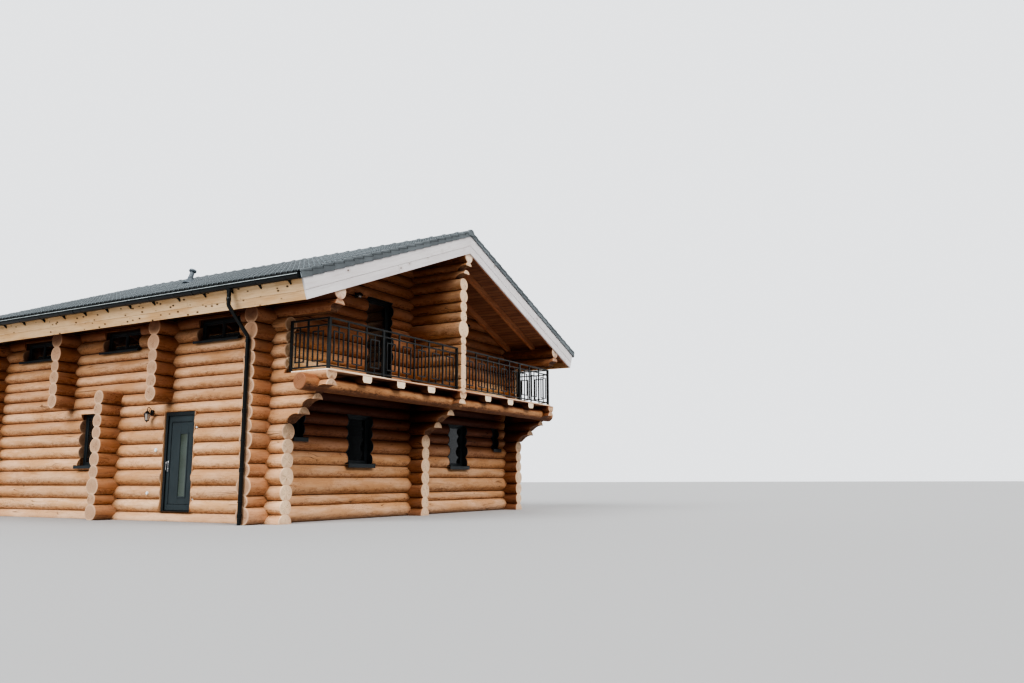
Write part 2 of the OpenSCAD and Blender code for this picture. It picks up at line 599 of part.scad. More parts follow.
dy0 = -hy + door_y;
dy1 = dy0 + door_w;
module entry_frame() difference() {
    bx(-hx - 115, -hx - leaf_out + leaf_t, dy0, dy1, door_sill, head_z);
    bx(-hx - leaf_out - 7, -hx, dy0 + frame_w, dy1 - frame_w, door_sill + 20, head_z - frame_w);
    bx(-hx - 200, -hx, dy0 + frame_w + 20, dy1 - frame_w - 20, door_sill + 20, head_z - frame_w - 20);
}
ly0 = dy0 + frame_w + leaf_gap;
ly1 = dy1 - frame_w - leaf_gap;
lz0 = door_sill + 20 + leaf_gap;
lz1 = head_z - frame_w - leaf_gap;
glass_y = [ly1 - 620, ly1 - 390];
glass_z = [520, 1870];
module entry_leaf(hole = true) difference() {
    bx(-hx - leaf_out, -hx - leaf_out + leaf_t, ly0, ly1, lz0, lz1);
    if (hole) bx(-hx - 200, -hx, glass_y[0], glass_y[1], glass_z[0], glass_z[1]);
}
module entry_pane() bx(-hx - leaf_out + 15, -hx - leaf_out + 45, glass_y[0], glass_y[1], glass_z[0], glass_z[1]);
// outside a plate with an upright grip, inside a plate with a lever
module entry_grip() {
    x0 = -hx - leaf_out - 10;
    bx(x0, x0 + 10, ly1 - 75, ly1 - 35, 1050, 1290);
    for (z = [1090, 1250]) bx(x0 - 45, x0, ly1 - 63, ly1 - 47, z - 8, z + 8);
    bx(x0 - 55, x0 - 39, ly1 - 63, ly1 - 47, 1070, 1270);
}
module entry_lever() {
    x0 = -hx - leaf_out + leaf_t;
    bx(x0, x0 + 10, ly1 - 75, ly1 - 35, 1050, 1290);
    bx(x0 + 10, x0 + 60, ly1 - 64, ly1 - 46, 1196, 1214);
    bx(x0 + 44, x0 + 60, ly1 - 180, ly1 - 46, 1196, 1214);
}
// three hinges on the room side: a lower knuckle on the frame, an upper one on the leaf
hinge_x = -hx - leaf_out + leaf_t + 15;
hinge_y = dy0 + frame_w;
hinge_z = [430, 1200, 1990];
module knuckle(side)
    for (z = hinge_z)
        translate([hinge_x, hinge_y, z + (side > 0 ? 50 : 0)]) {
            cylinder(r = 10, h = 45, $fn = 32);
            translate([-15, side > 0 ? 5 : -38, 5]) cube([11, 33, 35]);
        }
module entry_frame_w() color(dark_col) { entry_frame(); knuckle(-1); }
module entry_leaf_w() color([0.24, 0.28, 0.30]) { entry_leaf(); knuckle(1); }
module entry_glass_w() color([0.75, 0.80, 0.76]) entry_pane();
module entry_handle_w() color([0.75, 0.75, 0.76]) { entry_grip(); entry_lever(); }
module entry_door_e() color([0.24, 0.28, 0.30]) mirror([1, 0, 0]) {
    difference() {
        bx(-hx - 115, -hx - leaf_out + leaf_t, dy0, dy1, door_sill, head_z);
        bx(-hx - 200, -hx - leaf_out, dy0 + frame_w + 20, dy1 - frame_w - 20, door_sill + 20, head_z - frame_w - 20);
    }
}

// ---------- wall lanterns ----------

// a back plate on the log with a glazed box hung from its arm
lamp_y = -hy + 3420;
module lantern() {
    difference() {
        bx(-hx - 190, -hx - 60, lamp_y - 45, lamp_y + 45, 2290, 2410);
        translate([-hx, 0, 0]) along_y(lamp_y - 60, lamp_y + 60) {
            log_profile(long_z, 0, head_z);
            log_profile(long_z, head_z, wall_top);
            translate([-1, 0]) log_profile(long_z, 0, wall_top);
        }
    }
    bx(-hx - 260, -hx - 190, lamp_y - 20, lamp_y + 20, 2390, 2410);
    bx(-hx - 340, -hx - 210, lamp_y - 65, lamp_y + 65, 2140, 2390);
}
// a small lamp between the balcony doors
lamp_x = -2350;
module gable_lantern() {
    difference() {
        bx(lamp_x - 40, lamp_x + 40, -hy - 200, -hy - 60, 5080, 5200);
        translate([0, -hy, 0]) along_x(lamp_x - 60, lamp_x + 60) {
            log_profile(gable_z, head_z, 6600);
            translate([-1, 0]) log_profile(gable_z, head_z, 6600);
        }
    }
    bx(lamp_x - 80, lamp_x + 80, -hy - 330, -hy - 200, 5060, 5200);
}
module lanterns() color(dark_col) {
    mirror_x() lantern();
    mirror_x() mirror_y() gable_lantern();
}

wall_w_front();
wall_w_back();
wall_w_upper();
wall_e_lower();
wall_e_upper();
gable_f_lower();
gable_f_upper();
gable_b_lower();
gable_b_upper();
midwall_front();
midwall_back();
stacks_w();
stacks_e();
plate_logs();
ridge_log();
ground_floor();
upper_floor();
bearer_front();
bearer_back();
joists_front();
joists_back();
deck_front();
deck_back();
railing_front();
railing_front_sides();
railing_back();
railing_back_sides();
rafters_w();
rafters_e();
eave_blocking();
roof_deck_w();
roof_deck_e();
roof_tiles_w();
roof_tiles_e();
ridge_tiles();
barge_boards_w();
barge_boards_e();
eave_fascias();
gutters();
downpipes();
roof_vents();
window_frames();
window_glass();
window_sills();
balcony_doors();
entry_frame_w();
entry_leaf_w();
entry_glass_w();
entry_handle_w();
entry_door_e();
lanterns();
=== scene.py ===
"""Looks for the alpine chalet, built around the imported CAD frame. Metres, +Z up, ridge along Y, front gable at -Y."""
import math
import random

import bpy
import numpy as np
from mathutils import Matrix, Vector


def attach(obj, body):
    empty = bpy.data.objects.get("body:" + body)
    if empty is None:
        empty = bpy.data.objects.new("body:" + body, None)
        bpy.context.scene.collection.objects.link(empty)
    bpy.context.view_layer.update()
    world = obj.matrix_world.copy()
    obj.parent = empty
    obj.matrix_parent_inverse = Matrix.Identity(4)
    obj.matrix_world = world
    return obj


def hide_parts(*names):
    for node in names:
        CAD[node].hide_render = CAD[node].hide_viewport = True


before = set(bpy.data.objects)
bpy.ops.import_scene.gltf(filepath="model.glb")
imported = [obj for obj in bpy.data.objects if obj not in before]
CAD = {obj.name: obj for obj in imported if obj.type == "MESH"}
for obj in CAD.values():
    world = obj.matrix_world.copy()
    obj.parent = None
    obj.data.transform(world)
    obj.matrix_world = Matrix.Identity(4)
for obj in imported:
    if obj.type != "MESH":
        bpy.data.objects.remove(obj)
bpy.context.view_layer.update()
scene = bpy.context.scene
rng = random.Random(7)

# ---------------------------------------------------------------- sizes, as in the CAD
HX, HY = 4.775, 4.70
APEX, FALL = 6.93, 0.3924
PITCH = math.atan(FALL)
SCRIBE = 0.022
LONG_Z = [0, .18, .46, .76, 1.10, 1.39, 1.67, 1.98, 2.29, 2.55, 2.82, 3.09, 3.33, 3.615, 3.87, 4.165, 4.415]
GABLE_Z = [0, .33, .56, .92, 1.19, 1.48, 1.80, 2.06, 2.33, 2.58, 2.87, 3.14, 3.43, 3.68, 4.02,
           4.36, 4.59, 4.83, 5.13, 5.42, 5.72, 6.00, 6.29, 6.56]
MID_Z = [0, .18, .44, .76, 1.05, 1.37, 1.65, 1.96, 2.27, 2.55, 2.82, 3.08, 3.31, 3.66, 3.93,
         4.17, 4.36, 4.75, 5.00, 5.25, 5.55, 5.84, 6.04, 6.24]
LONG_END = [.54] * 7 + [.94, 1.29, 1.63, 1.63, .50, .50, .50, .50, 1.785]
MID_END = [.54] * 7 + [.90, 1.28, 1.62] + [1.64] * 11 + [1.72, 1.782]
LONG_COVE = {7, 8, 9, 15}
MID_COVE = {7, 8, 9, 21, 22}
FLY = 0.63
STACK = 1.75
DECK_Z, DECK_T = 3.00, 0.04
RAIL_TOP = DECK_Z + DECK_T + 1.045
EAVE_X, VERGE = 5.884, 1.826
STRIP_Y = (-3.225, 0.0, 3.225)
STRIP_W, STRIP_Z = 1.28, (3.84, 4.32)
LOW_Y, LOW_W, LOW_Z = 0.80, 0.98, (1.20, 2.42)
DOOR_Y, DOOR_Z = (-2.65, -1.67), (0.20, 2.35)
SMALL_X, SMALL_Z = (3.90, 4.25), (1.74, 2.35)
TALL_X, TALL_Z = (1.63, 2.50), (1.22, 2.35)
BDOOR_X, BDOOR_Z = (0.95, 1.90), (3.06, 5.20)
SET = 0.02  # outer face of the set-back frames
EASE = 0.028  # how much lower the tile bed lies at the ridge


def roof_z(x):
    return APEX - FALL * abs(x)


def smooth(v, a, b):
    t = np.clip((v - a) / (b - a), 0, 1)
    return t * t * (3 - 2 * t)


def painted_shade_amount(P, N):
    """How much painted shade a place on the house gets: 1 deep under a balcony, and below 0 in the open, where it is
    painted light instead.
    """
    ax, ay, z = np.abs(P[:, 0]), np.abs(P[:, 1]), P[:, 2]
    nx = N[:, 0] * np.sign(P[:, 0])
    roof = roof_z(P[:, 0]) - 0.30
    edge = HX - ax + 0.9 * np.clip(-nx, 0, 1)
    # painted shade beside the long walls, under the eaves
    o = np.maximum(EAVE_X - ax, 0.05)
    face = 0.22 + 0.78 * (1 - np.clip(nx, 0, 1) ** 0.8)
    eaves = np.maximum(0.55 * smooth((4.62 - z) / o, 4.2, 0.8) * face, 0.85 * smooth(z, 4.02, 4.34)) * smooth(ax, HX - 0.3, HX)
    # painted shade under the balconies, also on the inward faces of the logs there and on the mid wall's sides
    o = np.maximum(HY + 1.62 - ay, 0.05)
    under = (1.30 * smooth(np.maximum(DECK_Z - z, 0.0) / o, 1.20, 0.50) + 0.75 * smooth(np.maximum(DECK_Z - z, 0.0) / o, 0.62, 0.25) * smooth(ay, HY + 0.5, HY + 0.3)) * (z < DECK_Z + 0.01) * smooth(ay, HY - 0.3, HY) * smooth(edge, 0.0, 0.9)
    inner = 0.48 * smooth(-nx, 0.0, 0.6) * (z < DECK_Z) * smooth(ay, HY, HY + 0.1)
    mid = 0.48 * np.clip(np.abs(N[:, 0]), 0, 1) * (ax < 0.4) * (z < DECK_Z) * smooth(ay, HY, HY + 0.1)
    # painted shade above them, under the overhanging roof
    o = np.maximum(HY + VERGE - ay, 0.05)
    above = 0.62 * smooth((roof - z) / o, 2.5, 1.0) * smooth(z, DECK_Z - 0.02, DECK_Z + 0.05) * smooth(ay, HY - 0.3, HY) * smooth(edge, -0.2, 0.5)
    # painted light low on the balcony walls towards their outer corners: less painted shade there, and lighter
    west = smooth(z, DECK_Z + 1.25, DECK_Z + 0.35) * smooth(ax, 1.0, HX - 0.6) * smooth(z, DECK_Z - 0.02, DECK_Z + 0.05) * smooth(ay, HY - 0.3, HY)
    above = above * (1 - west)
    full = np.maximum.reduce([eaves, under, above]) + np.maximum(inner, mid)
    # more painted shade on faces turned down just under the deck, and on the bearers and joists below it
    full = full + 0.5 * (under > 0) * smooth(N[:, 2], -0.4, -0.9) * smooth(z, DECK_Z - 0.10, DECK_Z - 0.02) * smooth(ay, HY, HY + 0.2)
    full = full + (0.22 + 0.75 * smooth(z, 2.76, 2.88)) * (z > 2.55) * (z < DECK_Z - 0.005) * smooth(ay, HY + 1.0, HY + 1.1) * smooth(ay, HY + 1.46, HY + 1.44) \
        * smooth(ax, HX - 0.1, HX - 0.5) * (ax > 0.35)
    # no painted shade on faces turned up above the deck, and less on faces turned to the front or back past the gables
    full = full * (1 - smooth(N[:, 2], 0.6, 0.9) * (z > DECK_Z + 0.02))
    face = smooth(np.abs(N[:, 1]), 0.75, 0.95)
    full = full * (1 - face * smooth(ay, HY + 0.15, HY + 0.3) * np.where(ax < 0.5, 0.45, 0.85))
    # painted light on faces in the open: those turned outwards on the long walls and corner logs, the log ends facing
    # front or back past the gables, and the low outer parts of the balcony walls; painted shade on the front- and
    # back-facing sides of the gable logs past the long walls
    pale = 0.12 * np.clip(nx, 0, 1) * smooth(ax, HX, HX + 0.05) * smooth(ax, HX + 0.5, HX + 0.3) \
        + 0.20 * smooth(np.abs(N[:, 1]), 0.8, 1.0) * smooth(ay, HY + 0.3, HY + 0.5) \
        + 0.42 * west * (ax < HX + 0.1) - 0.30 * np.clip(np.abs(N[:, 1]) - 0.2, 0, 1) * smooth(ax, HX + 0.1, HX + 0.2)
    return full - pale * (1 - smooth(full, 0.1, 0.6))


# ---------------------------------------------------------------- mesh building
class Geo:
    """Vertices with lp, the place inside a log or board as (across, up, along), and lc as (seed, crease, end, wet);
    crease also carries painted shade in the logs' scribed hollows, on the tiles lc holds (seed, pan dirt and painted
    shade, painted highlight, 0), and obj() adds sh, painted shade and painted light.
    """

    def __init__(self):
        self.v, self.f, self.lp, self.lc, self.fm, self.n = [], [], [], [], [], 0

    def add(self, v, f, lp=None, lc=None, m=0):
        v = np.asarray(v, float).reshape(-1, 3)
        k = len(v)
        self.v.append(v)
        self.lp.append(v.copy() if lp is None else np.asarray(lp, float).reshape(-1, 3))
        lc = np.array([0.5, 0, 0, 0]) if lc is None else np.asarray(lc, float)
        self.lc.append(np.tile(lc, (k, 1)) if lc.ndim == 1 else lc)
        for a in f:
            self.f.append(tuple(int(i) + self.n for i in a))
            self.fm.append(m)
        self.n += k

    def obj(self, name, mats, body="house", replaces=(), slot=None, smooth=38):
        me = bpy.data.meshes.new(name)
        me.from_pydata(np.concatenate(self.v).tolist(), [], self.f)
        lp = np.concatenate(self.lp).astype(np.float32)
        lc = np.concatenate(self.lc).astype(np.float32)
        a = me.attributes.new("lp", "FLOAT_VECTOR", "POINT")
        a.data.foreach_set("vector", lp.ravel())
        a = me.attributes.new("lc", "FLOAT_COLOR", "POINT")
        a.data.foreach_set("color", lc.ravel())
        for m in mats if isinstance(mats, (list, tuple)) else [mats]:
            me.materials.append(m)
        me.polygons.foreach_set("material_index", np.array(self.fm, np.int32))
        me.update()
        nv = np.zeros(len(lp) * 3, np.float32)
        me.vertex_normals.foreach_get("vector", nv)
        # sh: painted shade for each vertex, and painted light where it is below 0
        a = me.attributes.new("sh", "FLOAT", "POINT")
        a.data.foreach_set("value", painted_shade_amount(np.concatenate(self.v), nv.reshape(-1, 3)).astype(np.float32))
        if smooth:
            me.polygons.foreach_set("use_smooth", np.ones(len(me.polygons), bool))
            me.set_sharp_from_angle(angle=math.radians(smooth))
        ob = bpy.data.objects.new(name, me)
        scene.collection.objects.link(ob)
        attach(ob, body)
        if replaces:
            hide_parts(*replaces)
        return ob


def seed():
    return rng.random()


# one chamfered box as a template, its faces turned outwards
def _box_template():
    corners = [(x, y, z) for x in (-1, 1) for y in (-1, 1) for z in (-1, 1)]
    idx = {(c, a): i * 3 + a for i, c in enumerate(corners) for a in range(3)}
    faces = []
    for a in range(3):
        b, d = [k for k in range(3) if k != a]
        for s in (-1, 1):
            loop = []
            for sb, sd in ((-1, -1), (1, -1), (1, 1), (-1, 1)):
                c = [0, 0, 0]
                c[a], c[b], c[d] = s, sb, sd
                loop.append(idx[(tuple(c), a)])
            faces.append(loop)
    for d in range(3):
        a, b = [k for k in range(3) if k != d]
        for sa in (-1, 1):
            for sb in (-1, 1):
                c0, c1 = [0, 0, 0], [0, 0, 0]
                c0[a] = c1[a] = sa
                c0[b] = c1[b] = sb
                c0[d], c1[d] = -1, 1
                c0, c1 = tuple(c0), tuple(c1)
                faces.append([idx[(c0, a)], idx[(c1, a)], idx[(c1, b)], idx[(c0, b)]])
    for c in corners:
        faces.append([idx[(c, 0)], idx[(c, 1)], idx[(c, 2)]])
    pts = np.zeros((24, 3))
    for i, c in enumerate(corners):
        for a in range(3):
            p = np.array(c, float) * 0.8
            p[a] = c[a]
            pts[i * 3 + a] = p
    out = []
    for f in faces:
        p = pts[f]
        nrm = np.cross(p[1] - p[0], p[2] - p[0])
        out.append(f if nrm @ p.mean(0) > 0 else f[::-1])
    return corners, out


BOX_C, BOX_F = _box_template()


def cbox(g, lo, hi, c=0.004, grain=None, sd=None, m=0, M=None, crease=0.0, wet=0.0):
    """A box with every edge chamfered, from corner lo to corner hi, then moved by the matrix M."""
    lo, hi = np.array(lo, float), np.array(hi, float)
    h = (hi - lo) / 2
    mid = (hi + lo) / 2
    c = min(c, h.min() * 0.45)
    v = np.zeros((24, 3))
    for i, cc in enumerate(BOX_C):
        for a in range(3):
            p = np.array(cc) * (h - c)
            p[a] = cc[a] * h[a]
            v[i * 3 + a] = p
    if grain is None:
        grain = int(np.argmax(h))
    o = [k for k in range(3) if k != grain]
    s = seed() if sd is None else sd
    lp = np.stack([v[:, o[0]], v[:, o[1]], v[:, grain]], 1)
    lc = np.tile(np.array([s, crease, 0.0, wet]), (24, 1))
    lc[grain::3, 2] = 1.0
    w = v + mid
    if M is not None:
        w = np.array([M @ Vector(p) for p in w])
    g.add(w, BOX_F, lp, lc, m)


def prism(g, poly, axis, a, b, sd=None, m=0, close=True, end=0.0):
    """A flat outline pushed along an axis: 'y' takes (x, z) points, 'x' takes (y, z), 'z' takes (x, y)."""
    n = len(poly)
    s = seed() if sd is None else sd
    v, lp = [], []
    for t in (a, b):
        for p in poly:
            v.append((p[0], t, p[1]) if axis == "y" else (t, p[0], p[1]) if axis == "x" else (p[0], p[1], t))
            lp.append((p[0], p[1], t))
    area = sum(poly[i][0] * poly[(i + 1) % n][1] - poly[(i + 1) % n][0] * poly[i][1] for i in range(n))
    flip = (area > 0) == (axis == "y")
    f = []
    for i in range(n):
        j = (i + 1) % n
        q = [i, j, n + j, n + i]
        f.append(q[::-1] if flip else q)
    g.add(v, f, lp, (s, 0, 0, 0), m)
    if close:
        for base, back in ((0, True), (n, False)):
            q = list(range(n))
            if back != flip:
                q = q[::-1]
            g.add(v[base:base + n], [q], lp[base:base + n], (s, 0, end, 0), m)


def tube(g, path, r, n=12, sd=0.5, m=0, caps=True, rings=None):
    """A round tube along a path of points; rings gives a radius for each point."""
    P = [np.array(p, float) for p in path]
    rr = rings or [r] * len(P)
    v = []
    up = None
    for i, p in enumerate(P):
        t = P[min(i + 1, len(P) - 1)] - P[max(i - 1, 0)]
        t /= np.linalg.norm(t)
        if up is None:
            up = np.cross(t, [0, 0, 1.0]) if abs(t[2]) < 0.9 else np.cross(t, [1.0, 0, 0])
        up = up - t * (up @ t)
        up /= np.linalg.norm(up)
        w = np.cross(t, up)
        for k in range(n):
            a = 2 * math.pi * k / n
            v.append(p + rr[i] * (math.cos(a) * up + math.sin(a) * w))
    f = []
    for i in range(len(P) - 1):
        for k in range(n):
            j = (k + 1) % n
            f.append((i * n + k, i * n + j, (i + 1) * n + j, (i + 1) * n + k))
    if caps:
        f.append(tuple(range(n))[::-1])
        f.append(tuple((len(P) - 1) * n + k for k in range(n)))
    g.add(v, f, None, (sd, 0, 0, 0), m)


def lathe(g, prof, M, n=16, sd=0.5, m=0):
    """A round shape from (radius, height) points about local Z, placed by M."""
    v = [M @ Vector((r * math.cos(2 * math.pi * k / n), r * math.sin(2 * math.pi * k / n), z)) for r, z in prof for k in range(n)]
    f = []
    for i in range(len(prof) - 1):
        for k in range(n):
            j = (k + 1) % n
            f.append((i * n + k, i * n + j, (i + 1) * n + j, (i + 1) * n + k))
    if prof[0][0] > 1e-5:
        f.append(tuple(range(n))[::-1])
    if prof[-1][0] > 1e-5:
        f.append(tuple((len(prof) - 1) * n + k for k in range(n)))
    g.add([tuple(p) for p in v], f, None, (sd, 0, 0, 0), m)


def bend(points, radius, steps=5):
    """A path with its inner corners rounded to a radius."""
    P = [Vector(p) for p in points]
    out = [tuple(P[0])]
    for i in range(1, len(P) - 1):
        a, b, c = P[i - 1], P[i], P[i + 1]
        u, w = (a - b).normalized(), (c - b).normalized()
        ang = u.angle(w)
        d = min(radius / math.tan(ang / 2), (a - b).length * 0.45, (c - b).length * 0.45)
        s, e = b + u * d, b + w * d
        for k in range(steps + 1):
            t = k / steps
            out.append(tuple(s.lerp(b, t).lerp(b.lerp(e, t), t)))
    out.append(tuple(P[-1]))
    return out


# ---------------------------------------------------------------- logs
NS, NT = 11, 3  # points on each side, and across the hidden top and the scribed groove


def cz_of(z, i):
    return z[1] / 2 - 0.07 if z[i] == 0 and z[1] < 0.2 else (z[i] + z[i + 1]) / 2


def r_of(z, i):
    return 0.18 if z[i] == 0 and z[1] < 0.2 else (z[i + 1] - z[i]) / 2 + SCRIBE


def meet(c0, r0, c1, r1):
    return (c0 + c1) / 2 + (r0 * r0 - r1 * r1) / (2 * (c1 - c0))


def log(g, axis, cu, z, i, s0, s1, sd, cuts=(), bot=None, top=None, ends=(1.0, 1.0), step=0.13, dense=(), lowfree=False,
        wob=1.0, m=0, zmax=None, bev=0.011):
    """One scribed log of a course, lying along an axis from s0 to s1 at cross position cu."""
    c, r = cz_of(z, i), r_of(z, i)
    lo = None if i == 0 or lowfree else (cz_of(z, i - 1), r_of(z, i - 1))
    hi = None if i >= len(z) - 2 else (cz_of(z, i + 1), r_of(z, i + 1))
    a0 = math.asin(max(-0.999, min(0.999, (meet(lo[0], lo[1], c, r) - c) / r))) if lo else -1.15
    a1 = math.asin(max(-0.999, min(0.999, (meet(c, r, hi[0], hi[1]) - c) / r))) if hi else 1.15
    side = np.linspace(a0, a1, NS)
    th = np.concatenate([side, np.linspace(a1, math.pi - a1, NT + 2)[1:-1], math.pi - side[::-1],
                         np.linspace(math.pi - a0, 2 * math.pi + a0, NT + 2)[1:-1]])
    w = np.sin(np.linspace(0, math.pi, NS)) ** 0.6
    wt = np.concatenate([w, np.zeros(NT), w[::-1], np.zeros(NT)])
    cr = np.zeros(NS)
    if lo:
        cr[0], cr[1] = 1.0, 0.42
    if hi:
        cr[-1], cr[-2] = 0.9, 0.20
    cre = np.concatenate([cr, np.full(NT, .8), cr[::-1], np.full(NT, .8)])
    n = len(th)
    st = {s0, s0 + bev, s1 - bev, s1}
    k = max(2, int(round((s1 - s0) / step)))
    st |= set(np.linspace(s0 + bev, s1 - bev, k + 1)[1:-1])
    for a, b, za, zb in cuts:
        for e in (a, b):
            if s0 + bev < e < s1 - bev:
                st |= {e - 0.0004, e + 0.0004}
    for a, b, q in dense:
        st |= {x for x in np.linspace(a, b, q) if s0 + bev < x < s1 - bev}
    st = np.array(sorted(st))
    st = st[np.concatenate([[True], np.diff(st) > 3e-4])]
    p1, p2, p3, p4 = sd * 40, sd * 91, sd * 57, sd * 23
    S = st[:, None]
    rr = r * (1 + wob * wt[None] * (0.016 * np.sin(S * 1.7 + p1) + 0.010 * np.sin(S * 4.1 + p2 + th * 2)
                                    + 0.007 * np.sin(S * 9.3 + p3 + th * 3) + 0.010 * np.sin(th * 2 + p4)))
    shrink = np.ones(len(st))
    shrink[0] = shrink[-1] = 1 - bev * 0.8 / r
    rr = rr * shrink[:, None]
    du = rr * np.cos(th)[None]
    zz = c + rr * np.sin(th)[None]
    if lo:
        arc = lo[0] + np.sqrt(np.maximum(lo[1] ** 2 - du ** 2, 0)) - 0.0015
        low = (np.sin(th) < 0)[None] & (np.abs(du) < lo[1])
        zz = np.where(low, np.maximum(zz, arc), zz)
    zz = np.maximum(zz, 0.0)
    hollow = np.zeros(zz.shape, bool)
    if bot is not None:
        hollow = zz < bot(st)[:, None]
        zz = np.maximum(zz, bot(st)[:, None])
    if top is not None:
        zz = np.minimum(zz, np.maximum(top(st)[:, None], z[i]))
    if zmax is not None:
        zz = np.minimum(zz, zmax)
    for a, b, za, zb in cuts:
        inside = ((st >= a) & (st <= b))[:, None]
        if za > z[i]:  # the opening starts inside this course
            zz = np.where(inside, np.minimum(zz, za), zz)
        else:  # the opening ends inside this course
            zz = np.where(inside, np.maximum(zz, zb), zz)
    U, Z, SS = cu + du, zz, np.repeat(S, n, 1)
    P = np.stack([SS, U, Z] if axis == "x" else [U, SS, Z], 2)
    sgn = 1 if cu >= 0 else -1
    LP = np.stack([du * sgn, zz - c, SS], 2)
    m0 = len(st)
    wet = np.clip((0.30 - Z) / 0.30, 0, 1)
    # painted shade: the scribed hollows get a high crease value, which the log material darkens
    LC = np.stack([np.full(Z.shape, sd), np.where(hollow, 0.85, np.repeat(cre[None], m0, 0)), np.zeros(Z.shape), wet], 2)
    kk = np.arange(n)
    j = (kk + 1) % n
    rows = np.arange(m0 - 1)[:, None] * n
    F = np.stack([rows + kk, rows + j, rows + n + j, rows + n + kk], 2).reshape(-1, 4)
    if axis == "y":
        F = F[:, ::-1]
    g.add(P[1:-1].reshape(-1, 3), F[: (m0 - 3) * n], LP[1:-1].reshape(-1, 3), LC[1:-1].reshape(-1, 4), m)
    for e, ring, inner, flag in ((0, 0, 1, ends[0]), (1, m0 - 1, m0 - 2, ends[1])):
        if flag is None:
            continue
        a, b = P[ring], P[inner]
        mid = a.mean(0)
        v = np.concatenate([a, b, [mid]])
        lmid = LP[ring].mean(0)
        l = np.concatenate([LP[ring], LP[inner], [lmid]])
        col = np.zeros((2 * n + 1, 4))
        col[:, 0], col[:, 2], col[:, 3] = sd, flag, wet[ring].mean()
        # crease 1 on the rim rings of the cut end: the log material paints a highlight on this bevel
        col[:2 * n, 1] = 1.0
        f = []
        out = (e == 1) != (axis == "y")
        for q in range(n):
            t = (q + 1) % n
            f.append((q, t, 2 * n) if out else (t, q, 2 * n))
            f.append((n + q, n + t, t, q) if out else (n + t, n + q, q, t))
        g.add(v, f, l, col, m)


def spans(s0, s1, z0, z1, holes):
    """Parts of a course from s0 to s1 left between openings, with the partial cuts that reach into it."""
    full = [(a, b) for a, b, za, zb in holes if za <= z0 + 0.004 and zb >= z1 - 0.004]
    part = [(a, b, za, zb) for a, b, za, zb in holes
            if not (za <= z0 + 0.004 and zb >= z1 - 0.004) and za < z1 - 0.004 and zb > z0 + 0.004]
    segs, at = [], s0
    for a, b in sorted(full):
        if b <= s0 or a >= s1:
            continue
        if a - at > 0.03:
            segs.append((at, a, at != s0, True))
        at = b
    if s1 - at > 0.03:
        segs.append((at, s1, at != s0, False))
    return segs, part


def cove_fn(reach, z0, z1, side):
    R, b = (0.13, 0.02) if z0 > 4.1 and z0 < 4.2 else (0.30, 0.065)
    tip = z0 + 0.58 * (z1 - z0)
    uc = reach - b
    zc = tip - math.sqrt(R * R - b * b)

    def fn(s):
        u = np.abs(s) - HY
        d = R * R - (u - uc) ** 2
        q = np.where(d > 0, zc + np.sqrt(np.maximum(d, 0)), -9.0)
        q = np.where(u > uc + b, tip, q)
        return np.where(np.sign(s) == side, q, -9.0)
    return fn


def both(f, h):
    return lambda s: np.maximum(f(s), h(s))


LONG_HOLES = [(y - STRIP_W / 2, y + STRIP_W / 2, STRIP_Z[0], STRIP_Z[1] + 0.02) for y in STRIP_Y] + \
             [(LOW_Y - LOW_W / 2, LOW_Y + LOW_W / 2, *LOW_Z), (*DOOR_Y, *DOOR_Z)]
GABLE_HOLES = []
for x, zz_ in ((SMALL_X, SMALL_Z), (TALL_X, TALL_Z), (BDOOR_X, BDOOR_Z)):
    GABLE_HOLES += [(x[0], x[1], *zz_), (-x[1], -x[0], *zz_)]


def long_wall(sx):
    parts = {"lower_front": Geo(), "lower_back": Geo(), "upper": Geo()} if sx < 0 else {"lower": Geo(), "upper": Geo()}
    for i in range(len(LONG_Z) - 1):
        z0, z1 = LONG_Z[i], LONG_Z[i + 1]
        reach = LONG_END[i]
        segs, part = spans(-HY - reach, HY + reach, z0, z1, LONG_HOLES)
        bot = both(cove_fn(reach, z0, z1, -1), cove_fn(reach, z0, z1, 1)) if i in LONG_COVE else None
        dense = []
        if i in LONG_COVE:
            dense = [(-HY - reach, -HY - reach + 0.42, 22), (HY + reach - 0.42, HY + reach, 22)]
        topf = None
        if i == 10:  # cut down flat where the balcony deck lies on it
            def topf(t):
                return np.where(np.abs(t) > HY + 0.50, DECK_Z, 9.0)
            dense = [(e * (HY + 0.50) - 0.0004, e * (HY + 0.50) + 0.0004, 2) for e in (-1, 1)]
        # painted shade: the cut ends of the upper courses turn browner, under the balcony and the eaves, and so do the
        # ends beside the openings
        tone = 1.0 if i < 6 else 0.80 if i == 6 else 0.72 if i < 11 else 0.58 if i < 15 else 0.70
        sd = seed()
        for a, b, h0, h1 in segs:
            if z1 <= 2.36:
                key = ("lower_front" if (a + b) / 2 < -2.1 else "lower_back") if sx < 0 else "lower"
            else:
                key = "upper"
            log(parts[key], "y", sx * HX, LONG_Z, i, a, b, sd, cuts=part, bot=bot, dense=dense, top=topf,
                ends=(0.70 if h0 else tone, 0.70 if h1 else tone), zmax=4.42 if i == 15 else None)
    return parts


def gable_wall(sy):
    low, up = Geo(), Geo()
    for i in range(len(GABLE_Z) - 1):
        z0, z1 = GABLE_Z[i], GABLE_Z[i + 1]
        if z0 < 4.3:
            reach, top = HX + FLY, None
        else:
            reach = min(HX, (APEX - 0.24 - z0 - 0.01) / FALL)
            def top(s):
                return APEX - 0.24 - FALL * np.abs(s)
        if reach < 0.3:
            continue
        segs, part = spans(-reach, reach, z0, z1, GABLE_HOLES)
        sd = seed()
        for a, b, h0, h1 in segs:
            # painted shade: the cut ends beside the openings are the darkest
            log(low if z1 <= 2.34 else up, "x", sy * HY, GABLE_Z, i, a, b, sd, cuts=part, top=top,
                ends=(0.45 if h0 else 0.62, 0.45 if h1 else 0.62), dense=[(a, b, int((b - a) / 0.07))] if top else ())
    return low, up


